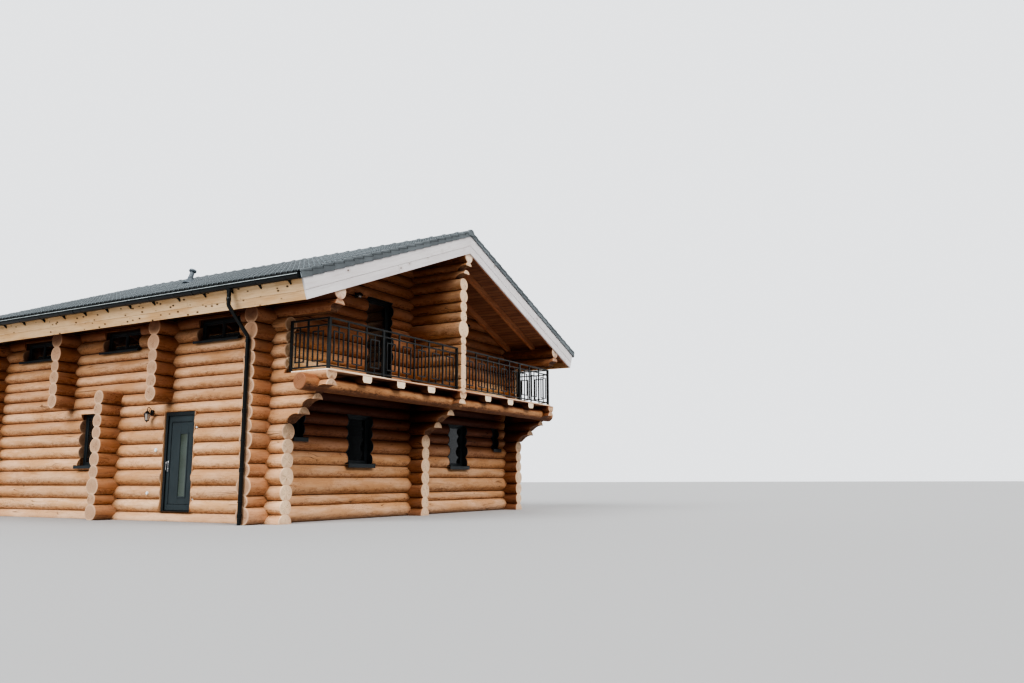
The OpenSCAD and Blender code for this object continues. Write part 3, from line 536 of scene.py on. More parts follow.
def mid_wall(sy):
    g = Geo()
    for i in range(len(MID_Z) - 1):
        z0, z1 = MID_Z[i], MID_Z[i + 1]
        reach = MID_END[i]
        a, b = sorted((sy * (HY - 0.1), sy * (HY + reach)))
        bot = cove_fn(reach, z0, z1, sy) if i in MID_COVE else None
        dense = [(min(sy * (HY + reach), sy * (HY + reach - 0.42)), max(sy * (HY + reach), sy * (HY + reach - 0.42)), 22)] \
            if i in MID_COVE else ()
        sd = seed()
        e = (1.0, None) if sy < 0 else (None, 1.0)
        n0 = g.n
        log(g, "y", 0.0, MID_Z, i, a, b, sd, bot=bot, dense=dense if dense else
            ([(sy * (HY + 1.495) - 0.004, sy * (HY + 1.495) + 0.004, 2)]), ends=e)
        if 3.0 < z1 <= 4.18 and z0 >= 3.0:  # the plumb strip where the railings meet it
            seen = 0
            for q, blk in enumerate(g.v):
                if seen >= n0:
                    far = (blk[:, 1] * sy > HY + 1.494) & (blk[:, 2] > 3.03)
                    lim = np.clip(blk[:, 0], -0.11, 0.11)
                    blk[:, 0] = np.where(far, lim, blk[:, 0])
                seen += len(blk)
    return g


def stacks(sx):
    g = Geo()
    for y, lo, hi in ((-HY + 2.95, 9, 15), (HY - 2.95, 9, 15), (0.0, 0, 10)):
        for i in range(lo, hi):
            sd = seed()
            a, b = sorted((sx * (HX - 0.02), sx * (HX + FLY)))
            e = (0.68, None) if sx < 0 else (None, 0.68)
            zz = GABLE_Z[:hi + 1]
            log(g, "x", y, zz, i, a, b, sd, ends=e, lowfree=(i == lo), step=0.09)
    return g


# ---------------------------------------------------------------- materials
class Mat:
    def __init__(self, name):
        self.m = bpy.data.materials.new(name)
        self.m.use_nodes = True
        self.t = self.m.node_tree
        self.t.nodes.clear()
        self.b = self.t.nodes.new("ShaderNodeBsdfPrincipled")
        o = self.t.nodes.new("ShaderNodeOutputMaterial")
        self.t.links.new(self.b.outputs[0], o.inputs[0])
        self.cache = {}

    def link(self, sock, val):
        if isinstance(val, (int, float)):
            sock.default_value = val
        elif isinstance(val, (tuple, list)):
            sock.default_value = tuple(val) + ((1.0,) if len(val) == 3 and len(sock.default_value) == 4 else ())
        else:
            self.t.links.new(val, sock)

    def set(self, **kw):
        for k, v in kw.items():
            self.link(self.b.inputs[k.replace("_", " ")], v)
        return self

    def attr(self, name):
        if name not in self.cache:
            n = self.t.nodes.new("ShaderNodeAttribute")
            n.attribute_name = name
            self.cache[name] = n
        return self.cache[name]

    def coord(self):
        if "coord" not in self.cache:
            self.cache["coord"] = self.t.nodes.new("ShaderNodeTexCoord")
        return self.cache["coord"].outputs["Object"]

    def normal(self):
        n = self.t.nodes.new("ShaderNodeNewGeometry")
        return n.outputs["Normal"]

    def sep(self, v, kind="XYZ"):
        key = ("sep", kind, v.node.name, v.name)
        if key not in self.cache:
            n = self.t.nodes.new("ShaderNodeSeparateXYZ" if kind == "XYZ" else "ShaderNodeSeparateColor")
            self.t.links.new(v, n.inputs[0])
            self.cache[key] = n
        return self.cache[key].outputs

    def comb(self, x, y, z):
        n = self.t.nodes.new("ShaderNodeCombineXYZ")
        for s, v in zip(n.inputs, (x, y, z)):
            self.link(s, v)
        return n.outputs[0]

    def vm(self, op, a, b=None, out=0):
        n = self.t.nodes.new("ShaderNodeVectorMath")
        n.operation = op
        self.link(n.inputs[0], a)
        if b is not None:
            self.link(n.inputs[1], b)
        return n.outputs[out]

    def ma(self, op, a, b=0.0, c=0.0, clamp=False):
        n = self.t.nodes.new("ShaderNodeMath")
        n.operation = op
        n.use_clamp = clamp
        self.link(n.inputs[0], a)
        self.link(n.inputs[1], b)
        self.link(n.inputs[2], c)
        return n.outputs[0]

    def step(self, v, a, b, lo=0.0, hi=1.0):
        n = self.t.nodes.new("ShaderNodeMapRange")
        n.interpolation_type = "SMOOTHSTEP"
        self.link(n.inputs[0], v)
        for k, x in zip((1, 2, 3, 4), (a, b, lo, hi)):
            n.inputs[k].default_value = x
        return n.outputs[0]

    def noise(self, vec, scale=1.0, detail=3.0, rough=0.55, dist=0.0):
        n = self.t.nodes.new("ShaderNodeTexNoise")
        self.link(n.inputs["Vector"], vec)
        n.inputs["Scale"].default_value = scale
        n.inputs["Detail"].default_value = detail
        n.inputs["Roughness"].default_value = rough
        n.inputs["Distortion"].default_value = dist
        return n.outputs["Fac"] if "Fac" in n.outputs else n.outputs[0]

    def voro(self, vec, scale=1.0, feature="F1"):
        n = self.t.nodes.new("ShaderNodeTexVoronoi")
        n.feature = feature
        self.link(n.inputs["Vector"], vec)
        n.inputs["Scale"].default_value = scale
        return n

    def mix(self, f, a, b, mode="MIX"):
        n = self.t.nodes.new("ShaderNodeMix")
        n.data_type = "RGBA"
        n.blend_type = mode
        n.clamp_factor = True
        self.link(n.inputs[0], f)
        self.link(n.inputs[6], a)
        self.link(n.inputs[7], b)
        return n.outputs[2]

    def apply_painted_shade(self, col, full=(0.36, 0.235, 0.20)):
        # painted shade: sh darkens and reddens the colour towards full, and where it is below 0 lightens it as painted
        # light
        sh = self.attr("sh").outputs["Fac"]
        return self.vm("MULTIPLY", col, self.comb(*(self.ma("POWER", f, sh) for f in full)))

    def bump(self, h, strength=0.4, dist=0.004, normal=None):
        n = self.t.nodes.new("ShaderNodeBump")
        n.inputs["Strength"].default_value = strength
        n.inputs["Distance"].default_value = dist
        self.link(n.inputs["Height"], h)
        if normal is not None:
            self.link(n.inputs["Normal"], normal)
        return n.outputs[0]


def lin(r, g, b):
    """An sRGB colour from 0 to 255 as linear light."""
    out = []
    for c in (r, g, b):
        c /= 255.0
        out.append(c / 12.92 if c <= 0.04045 else ((c + 0.055) / 1.055) ** 2.4)
    return tuple(out)


def log_material(name, pale, tan, brown, endc, blotch=1.0, aged=None):
    M = Mat(name)
    lp = M.attr("lp").outputs["Vector"]
    lcn = M.attr("lc")
    sep = M.sep(lcn.outputs["Color"], "RGB")
    sd, crease, end = sep[0], sep[1], sep[2]
    wet = lcn.outputs["Alpha"]
    off = M.comb(M.ma("MULTIPLY", sd, 71.0), M.ma("MULTIPLY", sd, 37.0), M.ma("MULTIPLY", sd, 113.0))
    P = M.vm("ADD", lp, off)
    big = M.noise(M.vm("MULTIPLY", P, (4.0, 4.0, 0.9)), 1.0, 3.0, 0.6)
    streak = M.noise(M.vm("MULTIPLY", P, (55.0, 55.0, 2.2)), 1.0, 3.0, 0.6)
    fine = M.noise(M.vm("MULTIPLY", P, (22.0, 22.0, 9.0)), 1.0, 6.0, 0.68)
    patch = M.noise(M.vm("MULTIPLY", P, (6.0, 6.0, 1.6)), 1.0, 4.0, 0.62, 0.4)
    px, py, ps = M.sep(lp)
    rad = M.vm("LENGTH", M.comb(px, py, 0.0), None, 1)
    up = M.ma("DIVIDE", py, M.ma("MAXIMUM", rad, 0.02))
    low = M.step(up, 0.05, -0.85)
    col = M.mix(M.step(big, 0.36, 0.64), pale, tan)
    # each log a little pinker, yellower or darker than the next
    hue = M.ma("FRACT", M.ma("MULTIPLY", sd, 7.31))
    col = M.mix(M.ma("MULTIPLY", hue, 0.28), col, tuple(a * b for a, b in zip(tan, (0.98, 0.86, 0.80))))
    dim = M.ma("FRACT", M.ma("MULTIPLY", sd, 13.7))
    col = M.mix(M.ma("MULTIPLY", M.step(dim, 0.45, 1.0), 0.22), col, brown)
    # bark stain and handling marks, strongest towards the underside and broken up at its edge
    spot = M.step(M.ma("ADD", M.ma("MULTIPLY", fine, 0.80), M.ma("MULTIPLY", patch, 0.35)), 0.545, 0.66)
    lowspot = M.ma("MULTIPLY", spot, M.ma("ADD", M.ma("MULTIPLY", low, 0.85), 0.16), clamp=True)
    col = M.mix(M.ma("MULTIPLY", lowspot, 0.80 * blotch, clamp=True), col, brown)
    # fine speckle of bast left on the log
    speck = M.noise(M.vm("MULTIPLY", P, (60.0, 60.0, 24.0)), 1.0, 3.0, 0.6)
    specks = M.ma("MULTIPLY", M.step(speck, 0.54, 0.66), M.step(M.ma("ADD", patch, M.ma("MULTIPLY", low, 0.22)), 0.48, 0.68))
    col = M.mix(M.ma("MULTIPLY", specks, 0.80 * blotch, clamp=True), col, tuple(b * 0.85 for b in brown))
    # darker band on the lower half of each log
    band = M.ma("MULTIPLY", M.step(M.ma("ADD", up, M.ma("MULTIPLY", patch, 0.5)), -0.02, -0.55), 0.50 * blotch)
    col = M.mix(band, col, tuple(a * 0.42 + b * 0.58 for a, b in zip(tan, brown)))
    col = M.mix(M.ma("MULTIPLY", M.step(streak, 0.42, 0.75), 0.20), col, brown)
    # knots
    vo = M.voro(M.vm("MULTIPLY", P, (5.2, 5.2, 2.6)))
    few = M.ma("GREATER_THAN", M.sep(vo.outputs["Color"], "RGB")[0], 0.80)
    knot = M.ma("MULTIPLY", M.step(vo.outputs["Distance"], 0.135, 0.05), few)
    col = M.mix(M.ma("MULTIPLY", knot, 0.55), col, tuple(b * 0.55 for b in brown))
    # dark joint lines, and painted shade on the scribed hollows, which carry a high crease
    joint_line_and_hollow_shade = M.ma("MULTIPLY", M.step(M.ma("ADD", crease, M.ma("MULTIPLY", M.ma("SUBTRACT", fine, 0.5), 0.5)), 0.45, 1.0), 0.85)
    col = M.mix(joint_line_and_hollow_shade, col, tuple(b * 0.30 for b in brown))
    # a few drying cracks along the log
    ck = M.ma("ABSOLUTE", M.ma("SUBTRACT", M.noise(M.vm("MULTIPLY", P, (7.0, 7.0, 0.55)), 1.0, 1.0, 0.4), 0.5))
    crack = M.ma("MULTIPLY", M.step(ck, 0.010, 0.003), M.step(M.noise(M.vm("MULTIPLY", P, (1.5, 1.5, 0.7)), 1.0, 1.0), 0.56, 0.66))
    col = M.mix(M.ma("MULTIPLY", crack, 0.7), col, tuple(b * 0.25 for b in brown))
    # end grain
    wob = M.noise(M.vm("MULTIPLY", P, (9.0, 9.0, 2.0)), 1.0, 2.0)
    ring = M.ma("SINE", M.ma("MULTIPLY", M.ma("ADD", rad, M.ma("MULTIPLY", wob, 0.03)), 560.0))
    heart = M.step(M.ma("ADD", rad, M.ma("MULTIPLY", wob, 0.06)), 0.13, 0.05)
    ec = M.mix(M.ma("MULTIPLY", M.step(ring, -0.2, 1.0), 0.22), endc, tuple(0.55 * a + 0.45 * b for a, b in zip(endc, tan)))
    ec = M.mix(M.ma("MULTIPLY", heart, 0.30), ec, tuple(0.5 * a + 0.5 * b for a, b in zip(endc, tan)))
    ang = M.ma("ARCTAN2", py, px)
    an = M.noise(M.comb(M.ma("MULTIPLY", ang, 1.9), M.ma("MULTIPLY", sd, 50.0), M.ma("MULTIPLY", rad, 1.5)), 1.0, 1.0, 0.5)
    split = M.ma("MULTIPLY", M.step(M.ma("ABSOLUTE", M.ma("SUBTRACT", an, 0.5)), 0.020, 0.004), M.step(rad, 0.16, 0.05))
    ec = M.mix(M.ma("MULTIPLY", split, 0.75), ec, tuple(b * 0.5 for b in brown))
    grime = M.noise(M.vm("MULTIPLY", P, (14.0, 14.0, 3.0)), 1.0, 4.0, 0.65)
    ec = M.mix(M.ma("MULTIPLY", M.step(grime, 0.52, 0.75), 0.30), ec, tan)
    # a lower end value turns a cut end browner (towards aged on the beams); the walls use it as painted shade
    ec = M.mix(M.step(end, 0.95, 0.5, 0.0, 0.92 if aged else 0.62), ec, aged or brown)
    if aged:
        ec = M.mix(M.ma("MULTIPLY", M.step(ring, -0.3, 0.9), M.step(end, 0.95, 0.5, 0.0, 0.40)), ec, brown)
        ec = M.mix(M.ma("MULTIPLY", split, 0.75), ec, tuple(b * 0.5 for b in brown))
    # painted highlight: a paler rim round each cut end, on its bevel
    bevel_highlight_mask = M.ma("ADD", crease, M.ma("MULTIPLY", M.ma("SUBTRACT", grime, 0.5), 0.12))
    ec = M.mix(M.ma("MULTIPLY", M.step(bevel_highlight_mask, 0.80, 0.95), 0.55), ec, tuple(min(1.0, a * 1.12) for a in endc))
    isend = M.ma("GREATER_THAN", end, 0.2)
    col = M.mix(isend, col, ec)
    col = M.mix(M.ma("MULTIPLY", M.step(wet, 0.0, 1.0), 0.30), col, tuple(b * 1.0 for b in lin(196, 160, 136)))
    # painted shade: darker and redder wood where the house overhangs it, and painted light where sh is below 0
    M.set(Base_Color=M.apply_painted_shade(col))
    h = M.ma("ADD", M.ma("MULTIPLY", streak, 0.35), M.ma("ADD", M.ma("MULTIPLY", fine, 0.35), M.ma("MULTIPLY", patch, 0.5)))
    h = M.ma("SUBTRACT", h, M.ma("ADD", M.ma("MULTIPLY", crack, 1.2), M.ma("MULTIPLY", M.ma("MULTIPLY", split, isend), 1.5)))
    M.set(Normal=M.bump(h, 0.55, 0.012), Roughness=M.step(streak, 0.3, 0.8, 0.56, 0.74))
    M.b.inputs["Specular IOR Level"].default_value = 0.32
    return M.m


def board_material(name, pale, tan, knotc, rough=0.7, knots=0.6, spec=0.3, endc=None, kscale=(3.0, 3.0, 1.6), grime=0.2, normal_end=None, kr=(0.085, 0.045), kdark=0.6, shade=False):
    M = Mat(name)
    if normal_end is None:
        lp = M.attr("lp").outputs["Vector"]
        sd = M.sep(M.attr("lc").outputs["Color"], "RGB")[0]
        end = M.sep(M.attr("lc").outputs["Color"], "RGB")[2]
    else:  # a CAD node: its grain runs along one axis, and its cut ends face that axis
        xyz = M.sep(M.coord())
        order = {"x": (1, 2, 0), "y": (0, 2, 1)}[normal_end]
        lp = M.comb(*(xyz[k] for k in order))
        cell = M.ma("FLOOR", M.ma("MULTIPLY", xyz[order[0]], 1.7))
        sd = M.ma("FRACT", M.ma("MULTIPLY", M.ma("ABSOLUTE", M.ma("SINE", M.ma("MULTIPLY", cell, 12.9898))), 43.7))
        nx = M.sep(M.normal())
        end = M.ma("GREATER_THAN", M.ma("ABSOLUTE", nx[order[2]]), 0.8)
    off = M.comb(M.ma("MULTIPLY", sd, 71.0), M.ma("MULTIPLY", sd, 37.0), M.ma("MULTIPLY", sd, 113.0))
    P = M.vm("ADD", lp, off)
    vo = M.voro(M.vm("MULTIPLY", P, kscale))
    few = M.ma("GREATER_THAN", M.sep(vo.outputs["Color"], "RGB")[0], 1.0 - knots)
    kd = vo.outputs["Distance"]
    knot = M.ma("MULTIPLY", M.step(kd, *kr), few)
    halo = M.ma("MULTIPLY", M.step(kd, 0.30, 0.08), few)
    warp = M.ma("MULTIPLY", halo, 0.10)
    across = M.ma("ADD", M.sep(P)[0], warp)
    upc = M.ma("ADD", M.sep(P)[1], warp)
    gr = M.noise(M.comb(M.ma("MULTIPLY", across, 55.0), M.ma("MULTIPLY", upc, 55.0), M.ma("MULTIPLY", M.sep(P)[2], 2.0)), 1.0, 3.0, 0.55)
    big = M.noise(M.vm("MULTIPLY", P, (3.0, 3.0, 0.7)), 1.0, 3.0, 0.6)
    col = M.mix(M.step(big, 0.35, 0.68), pale, tan)
    col = M.mix(M.ma("MULTIPLY", M.step(gr, 0.45, 0.72), 0.42), col, tuple(0.6 * a + 0.4 * b for a, b in zip(tan, knotc)))
    hue = M.ma("FRACT", M.ma("MULTIPLY", sd, 5.3))
    col = M.mix(M.ma("MULTIPLY", hue, 0.35), col, tan)
    col = M.mix(M.ma("MULTIPLY", halo, 0.22), col, knotc)
    col = M.mix(M.ma("MULTIPLY", knot, 0.92), col, tuple(k * kdark for k in knotc))
    gm = M.noise(M.vm("MULTIPLY", P, (9.0, 9.0, 3.0)), 1.0, 4.0, 0.65)
    col = M.mix(M.ma("MULTIPLY", M.step(gm, 0.5, 0.8), grime), col, knotc)
    if endc:
        col = M.mix(M.ma("GREATER_THAN", end, 0.6), col, M.mix(M.ma("MULTIPLY", M.step(gm, 0.4, 0.8), 0.35), endc, tan))
    # painted shade, from sh for built boards
    if shade and normal_end is None:
        col = M.apply_painted_shade(col)
    elif shade:  # painted shade: the CAD node's sides, which lie under the boards, are darkened, its ends in the open are not
        side = M.ma("SUBTRACT", 1.35, M.ma("MULTIPLY", end, 1.35))
        col = M.vm("MULTIPLY", col, M.comb(*(M.ma("POWER", f, side) for f in (0.30, 0.20, 0.16))))
    M.set(Base_Color=col, Roughness=M.step(gr, 0.3, 0.8, rough - 0.06, rough + 0.1))
    M.b.inputs["Specular IOR Level"].default_value = spec
    M.set(Normal=M.bump(M.ma("SUBTRACT", gr, M.ma("MULTIPLY", knot, 0.5)), 0.35, 0.004))
    return M.m


def soffit_material(name, pale, tan, dark):
    """Boarding under the roof: boards along Y with open joints, seen on the CAD roof deck."""
    M = Mat(name)
    x, y, z = M.sep(M.coord())
    t = M.ma("DIVIDE", M.ma("ABSOLUTE", x), 0.135 * math.cos(PITCH))
    cell = M.ma("FLOOR", t)
    fr = M.ma("FRACT", t)
    gap = M.ma("MAXIMUM", M.step(fr, 0.06, 0.015), M.step(fr, 0.94, 0.985))
    sd = M.ma("FRACT", M.ma("MULTIPLY", M.ma("ABSOLUTE", M.ma("SINE", M.ma("MULTIPLY", M.ma("ADD", cell, 3.1), 12.9898))), 43.7))
    P = M.comb(M.ma("ADD", x, M.ma("MULTIPLY", sd, 31.0)), z, M.ma("ADD", y, M.ma("MULTIPLY", sd, 57.0)))
    gr = M.noise(M.vm("MULTIPLY", P, (48.0, 48.0, 2.0)), 1.0, 3.0, 0.6)
    big = M.noise(M.vm("MULTIPLY", P, (3.0, 3.0, 0.8)), 1.0, 3.0, 0.6)
    col = M.mix(M.step(big, 0.35, 0.65), pale, tan)
    col = M.mix(M.ma("MULTIPLY", sd, 0.5), col, tan)
    col = M.mix(M.ma("MULTIPLY", M.step(gr, 0.42, 0.75), 0.5), col, dark)
    vo = M.voro(M.vm("MULTIPLY", P, (6.0, 6.0, 2.2)))
    knot = M.ma("MULTIPLY", M.step(vo.outputs["Distance"], 0.13, 0.06), M.ma("GREATER_THAN", M.sep(vo.outputs["Color"], "RGB")[0], 0.6))
    col = M.mix(M.ma("MULTIPLY", knot, 0.7), col, dark)
    col = M.mix(M.ma("MULTIPLY", gap, 0.9), col, tuple(d * 0.25 for d in dark))
    M.set(Base_Color=col, Roughness=0.72)
    M.set(Normal=M.bump(M.ma("SUBTRACT", M.ma("MULTIPLY", gr, 0.3), M.ma("MULTIPLY", gap, 1.0)), 0.6, 0.006))
    return M.m


def paint_material(name, col, rough=0.4, spec=0.5, metal=0.0, var=0.18, scale=6.0, bump=0.15, top_face_tint=None, coat=0.0):
    M = Mat(name)
    c = M.coord()
    big = M.noise(c, scale, 4.0, 0.6)
    fine = M.noise(c, scale * 40, 3.0, 0.6)
    dark = tuple(x * (1 - var) for x in col)
    lite = tuple(min(1, x * (1 + var)) for x in col)
    out = M.mix(M.step(big, 0.35, 0.65), dark, lite)
    if top_face_tint:
        # faces turned upwards mix in patches towards the given colour
        nz = M.sep(M.normal())[2]
        out = M.mix(M.ma("MULTIPLY", M.step(nz, 0.3, 1.0), M.step(big, 0.3, 0.8, 0.15, 0.5)), out, top_face_tint)
    M.set(Base_Color=out, Roughness=M.step(fine, 0.3, 0.7, max(0.03, rough - 0.06), rough + 0.07))
    M.b.inputs["Specular IOR Level"].default_value = spec
    M.b.inputs["Metallic"].default_value = metal
    M.b.inputs["Coat Weight"].default_value = coat
    M.set(Normal=M.bump(fine, bump, 0.001))
    return M.m


def tile_material(name, col):
    M = Mat(name)
    c = M.coord()
    sd = M.sep(M.attr("lc").outputs["Color"], "RGB")[0]
    pan_dirt_and_shade = M.sep(M.attr("lc").outputs["Color"], "RGB")[1]
    big = M.noise(c, 1.3, 4.0, 0.6)
    mid = M.noise(c, 14.0, 5.0, 0.65)
    fine = M.noise(c, 260.0, 3.0, 0.7)
    dark, lite = tuple(x * 0.72 for x in col), tuple(min(1, x * 1.28) for x in col)
    out = M.mix(M.step(big, 0.3, 0.7), dark, lite)
    out = M.mix(M.ma("MULTIPLY", sd, 0.55), out, tuple(x * 0.78 for x in col))
    out = M.mix(M.ma("MULTIPLY", M.step(mid, 0.5, 0.75), 0.25), out, tuple(min(1, x * 1.7) for x in col))
    out = M.mix(M.ma("MULTIPLY", M.step(fine, 0.5, 0.8), 0.30), out, tuple(x * 0.5 for x in col))
    # painted highlight: the third channel lightens the crest of each tile roll
    crest_highlight = M.sep(M.attr("lc").outputs["Color"], "RGB")[2]
    out = M.mix(M.ma("MULTIPLY", crest_highlight, 0.85), out, tuple(min(1, x * 3.0) for x in col))
    # dirt in the pans, and painted shade on the south flank of each roll and under each tile's nose
    out = M.mix(M.ma("MULTIPLY", pan_dirt_and_shade, 0.92, clamp=True), out, tuple(x * 0.11 for x in col))
    M.set(Base_Color=out, Roughness=M.ma("ADD", M.step(mid, 0.3, 0.8, 0.48, 0.62), M.ma("MULTIPLY", pan_dirt_and_shade, 0.3), clamp=True))
    M.b.inputs["Specular IOR Level"].default_value = 0.22
    M.set(Normal=M.bump(M.ma("ADD", M.ma("MULTIPLY", fine, 0.5), mid), 0.35, 0.003))
    return M.m


def glass_material(name, tint, alpha, rough=0.03):
    M = Mat(name)
    c = M.coord()
    wav = M.noise(c, 1.1, 1.0, 0.5)
    M.set(Base_Color=M.mix(M.step(wav, 0.3, 0.7), tint, tuple(x * 0.7 for x in tint)))
    M.b.inputs["Roughness"].default_value = rough
    M.b.inputs["Specular IOR Level"].default_value = 1.0
    M.b.inputs["IOR"].default_value = 1.9
    M.b.inputs["Alpha"].default_value = alpha
    M.set(Normal=M.bump(wav, 0.05, 0.02))
    return M.m


def steel_material(name):
    M = Mat(name)
    c = M.coord()
    br = M.noise(M.vm("MULTIPLY", c, (300.0, 300.0, 14.0)), 1.0, 2.0, 0.5)
    M.set(Base_Color=M.mix(br, (0.52, 0.52, 0.53), (0.74, 0.74, 0.75)), Roughness=M.step(br, 0.3, 0.7, 0.24, 0.36))
    M.b.inputs["Metallic"].default_value = 1.0
    M.set(Normal=M.bump(br, 0.1, 0.0006))
    return M.m


def obscure_material(name):
    M = Mat(name)
    c = M.coord()
    rip = M.noise(M.vm("MULTIPLY", c, (60.0, 60.0, 34.0)), 1.0, 4.0, 0.6, 0.6)
    x, y, z = M.sep(c)
    # painted reflection: the glass strip turns lighter towards its -y edge
    side = M.ma("ADD", M.ma("MULTIPLY", M.ma("SUBTRACT", y, -2.245), -4.0), 0.5, clamp=True)
    drift = M.noise(M.vm("MULTIPLY", c, (1.0, 1.0, 2.4)), 1.0, 2.0, 0.5)
    col = M.mix(M.step(drift, 0.35, 0.65), lin(70, 80, 73), lin(54, 62, 50))
    col = M.mix(M.ma("MULTIPLY", side, 0.60), col, lin(112, 120, 115))
    col = M.mix(M.ma("MULTIPLY", M.step(rip, 0.5, 0.75), 0.5), col, lin(52, 60, 50))
    M.set(Base_Color=col, Roughness=0.22)
    M.b.inputs["Specular IOR Level"].default_value = 0.6
    M.set(Normal=M.bump(rip, 0.5, 0.003))
    return M.m


LOG = log_material("log_spruce", lin(222, 182, 146), lin(203, 156, 114), lin(134, 87, 56), lin(214, 184, 154))
BEAM = log_material("log_beam", lin(184, 136, 98), lin(160, 112, 76), lin(88, 56, 36), lin(224, 198, 174), blotch=1.6, aged=lin(158, 106, 72))
SAWN = board_material("sawn_wood", lin(226, 196, 160), lin(206, 164, 122), lin(150, 92, 54), endc=lin(238, 218, 192), normal_end="y", shade=True)
DECKB = board_material("deck_board", lin(226, 198, 172), lin(206, 168, 136), lin(128, 78, 48), endc=lin(238, 210, 184), shade=True)
JAMB = board_material("jamb_board", lin(212, 176, 142), lin(194, 150, 112), lin(140, 88, 54))
# painted shade: rafters, blocking and soffit boards coloured darker than their wood, for the shade under the eaves
RAFTER = board_material("rafter_wood", lin(182, 130, 98), lin(158, 106, 78), lin(84, 52, 38), normal_end="x")
BLOCK = board_material("blocking_wood", lin(140, 80, 48), lin(116, 62, 36), lin(66, 34, 20), normal_end="y")
SOFFIT = soffit_material("soffit_boards", lin(158, 112, 86), lin(132, 88, 66), lin(72, 46, 34))
BARGE = board_material("barge_whitewash", lin(224, 221, 221), lin(212, 207, 207), lin(156, 134, 122), knots=0.75, endc=lin(224, 218, 210),
                       kscale=(3.6, 3.6, 2.4), grime=0.10, kr=(0.085, 0.050), kdark=0.42)
SPRUCE = board_material("fascia_spruce", lin(226, 196, 158), lin(208, 168, 122), lin(128, 80, 46), endc=lin(228, 204, 172),
                        knots=0.92, kscale=(9.0, 9.0, 5.2), grime=0.26, kr=(0.22, 0.10), kdark=0.14)
SCREED = paint_material("floor_screed", lin(158, 152, 144), 0.8, 0.3, scale=2.0)
BOARDS = board_material("floor_boards", lin(196, 156, 116), lin(176, 132, 92), lin(120, 76, 46), normal_end="x")
TILE = tile_material("roof_tile", lin(107, 113, 116))
GUTTER = paint_material("gutter_metal", lin(17, 21, 22), 0.34, 0.5, scale=2.0)
# painted reflection: a light grey for the sky caught along the gutter's front
BEAD_HIGHLIGHT = paint_material("gutter_bead_highlight", lin(176, 184, 184), 0.25, 0.7, scale=3.0)
RAIL = paint_material("railing_steel", lin(42, 45, 46), 0.42, 0.5, scale=4.0, top_face_tint=lin(92, 96, 98))
FRAME = paint_material("frame_paint", lin(46, 52, 55), 0.36, 0.5, scale=3.0)
PANE = glass_material("pane_glass", (0.012, 0.014, 0.015), 0.80)
DOOR = paint_material("door_paint", lin(54, 63, 66), 0.42, 0.5, scale=2.5, var=0.07)
OBSCURE = obscure_material("obscure_glass")
STEEL = steel_material("handle_steel")
VENT = paint_material("vent_plastic", lin(92, 100, 106), 0.5, 0.45, scale=5.0)
LAMP = paint_material("lantern_metal", lin(20, 20, 22), 0.35, 0.55, scale=8.0)
LAMPG = glass_material("lantern_glass", (0.62, 0.60, 0.55), 0.55, 0.08)
WHITE = paint_material("cap_plastic", lin(228, 232, 230), 0.4, 0.5, var=0.04, scale=30)

# ---------------------------------------------------------------- walls
W = long_wall(-1)
W["lower_front"].obj("logs_w_front", LOG, replaces=("wall_w_front",), slot="log")
W["lower_back"].obj("logs_w_back", LOG, replaces=("wall_w_back",), slot="log")
W["upper"].obj("logs_w_upper", LOG, replaces=("wall_w_upper",), slot="log")
E = long_wall(1)
E["lower"].obj("logs_e_lower", LOG, replaces=("wall_e_lower",), slot="log")
E["upper"].obj("logs_e_upper", LOG, replaces=("wall_e_upper",), slot="log")
for sy, nm in ((-1, "f"), (1, "b")):
    low_g, up_g = gable_wall(sy)
    low_g.obj(f"logs_gable_{nm}_lower", LOG, replaces=(f"gable_{nm}_lower",), slot="log")
    up_g.obj(f"logs_gable_{nm}_upper", LOG, replaces=(f"gable_{nm}_upper",), slot="log")
mid_wall(-1).obj("logs_mid_front", LOG, replaces=("midwall_front",), slot="log")
mid_wall(1).obj("logs_mid_back", LOG, replaces=("midwall_back",), slot="log")
stacks(-1).obj("logs_stacks_w", LOG, replaces=("stacks_w",), slot="log")
stacks(1).obj("logs_stacks_e", LOG, replaces=("stacks_e",), slot="log")

# ---------------------------------------------------------------- round beams


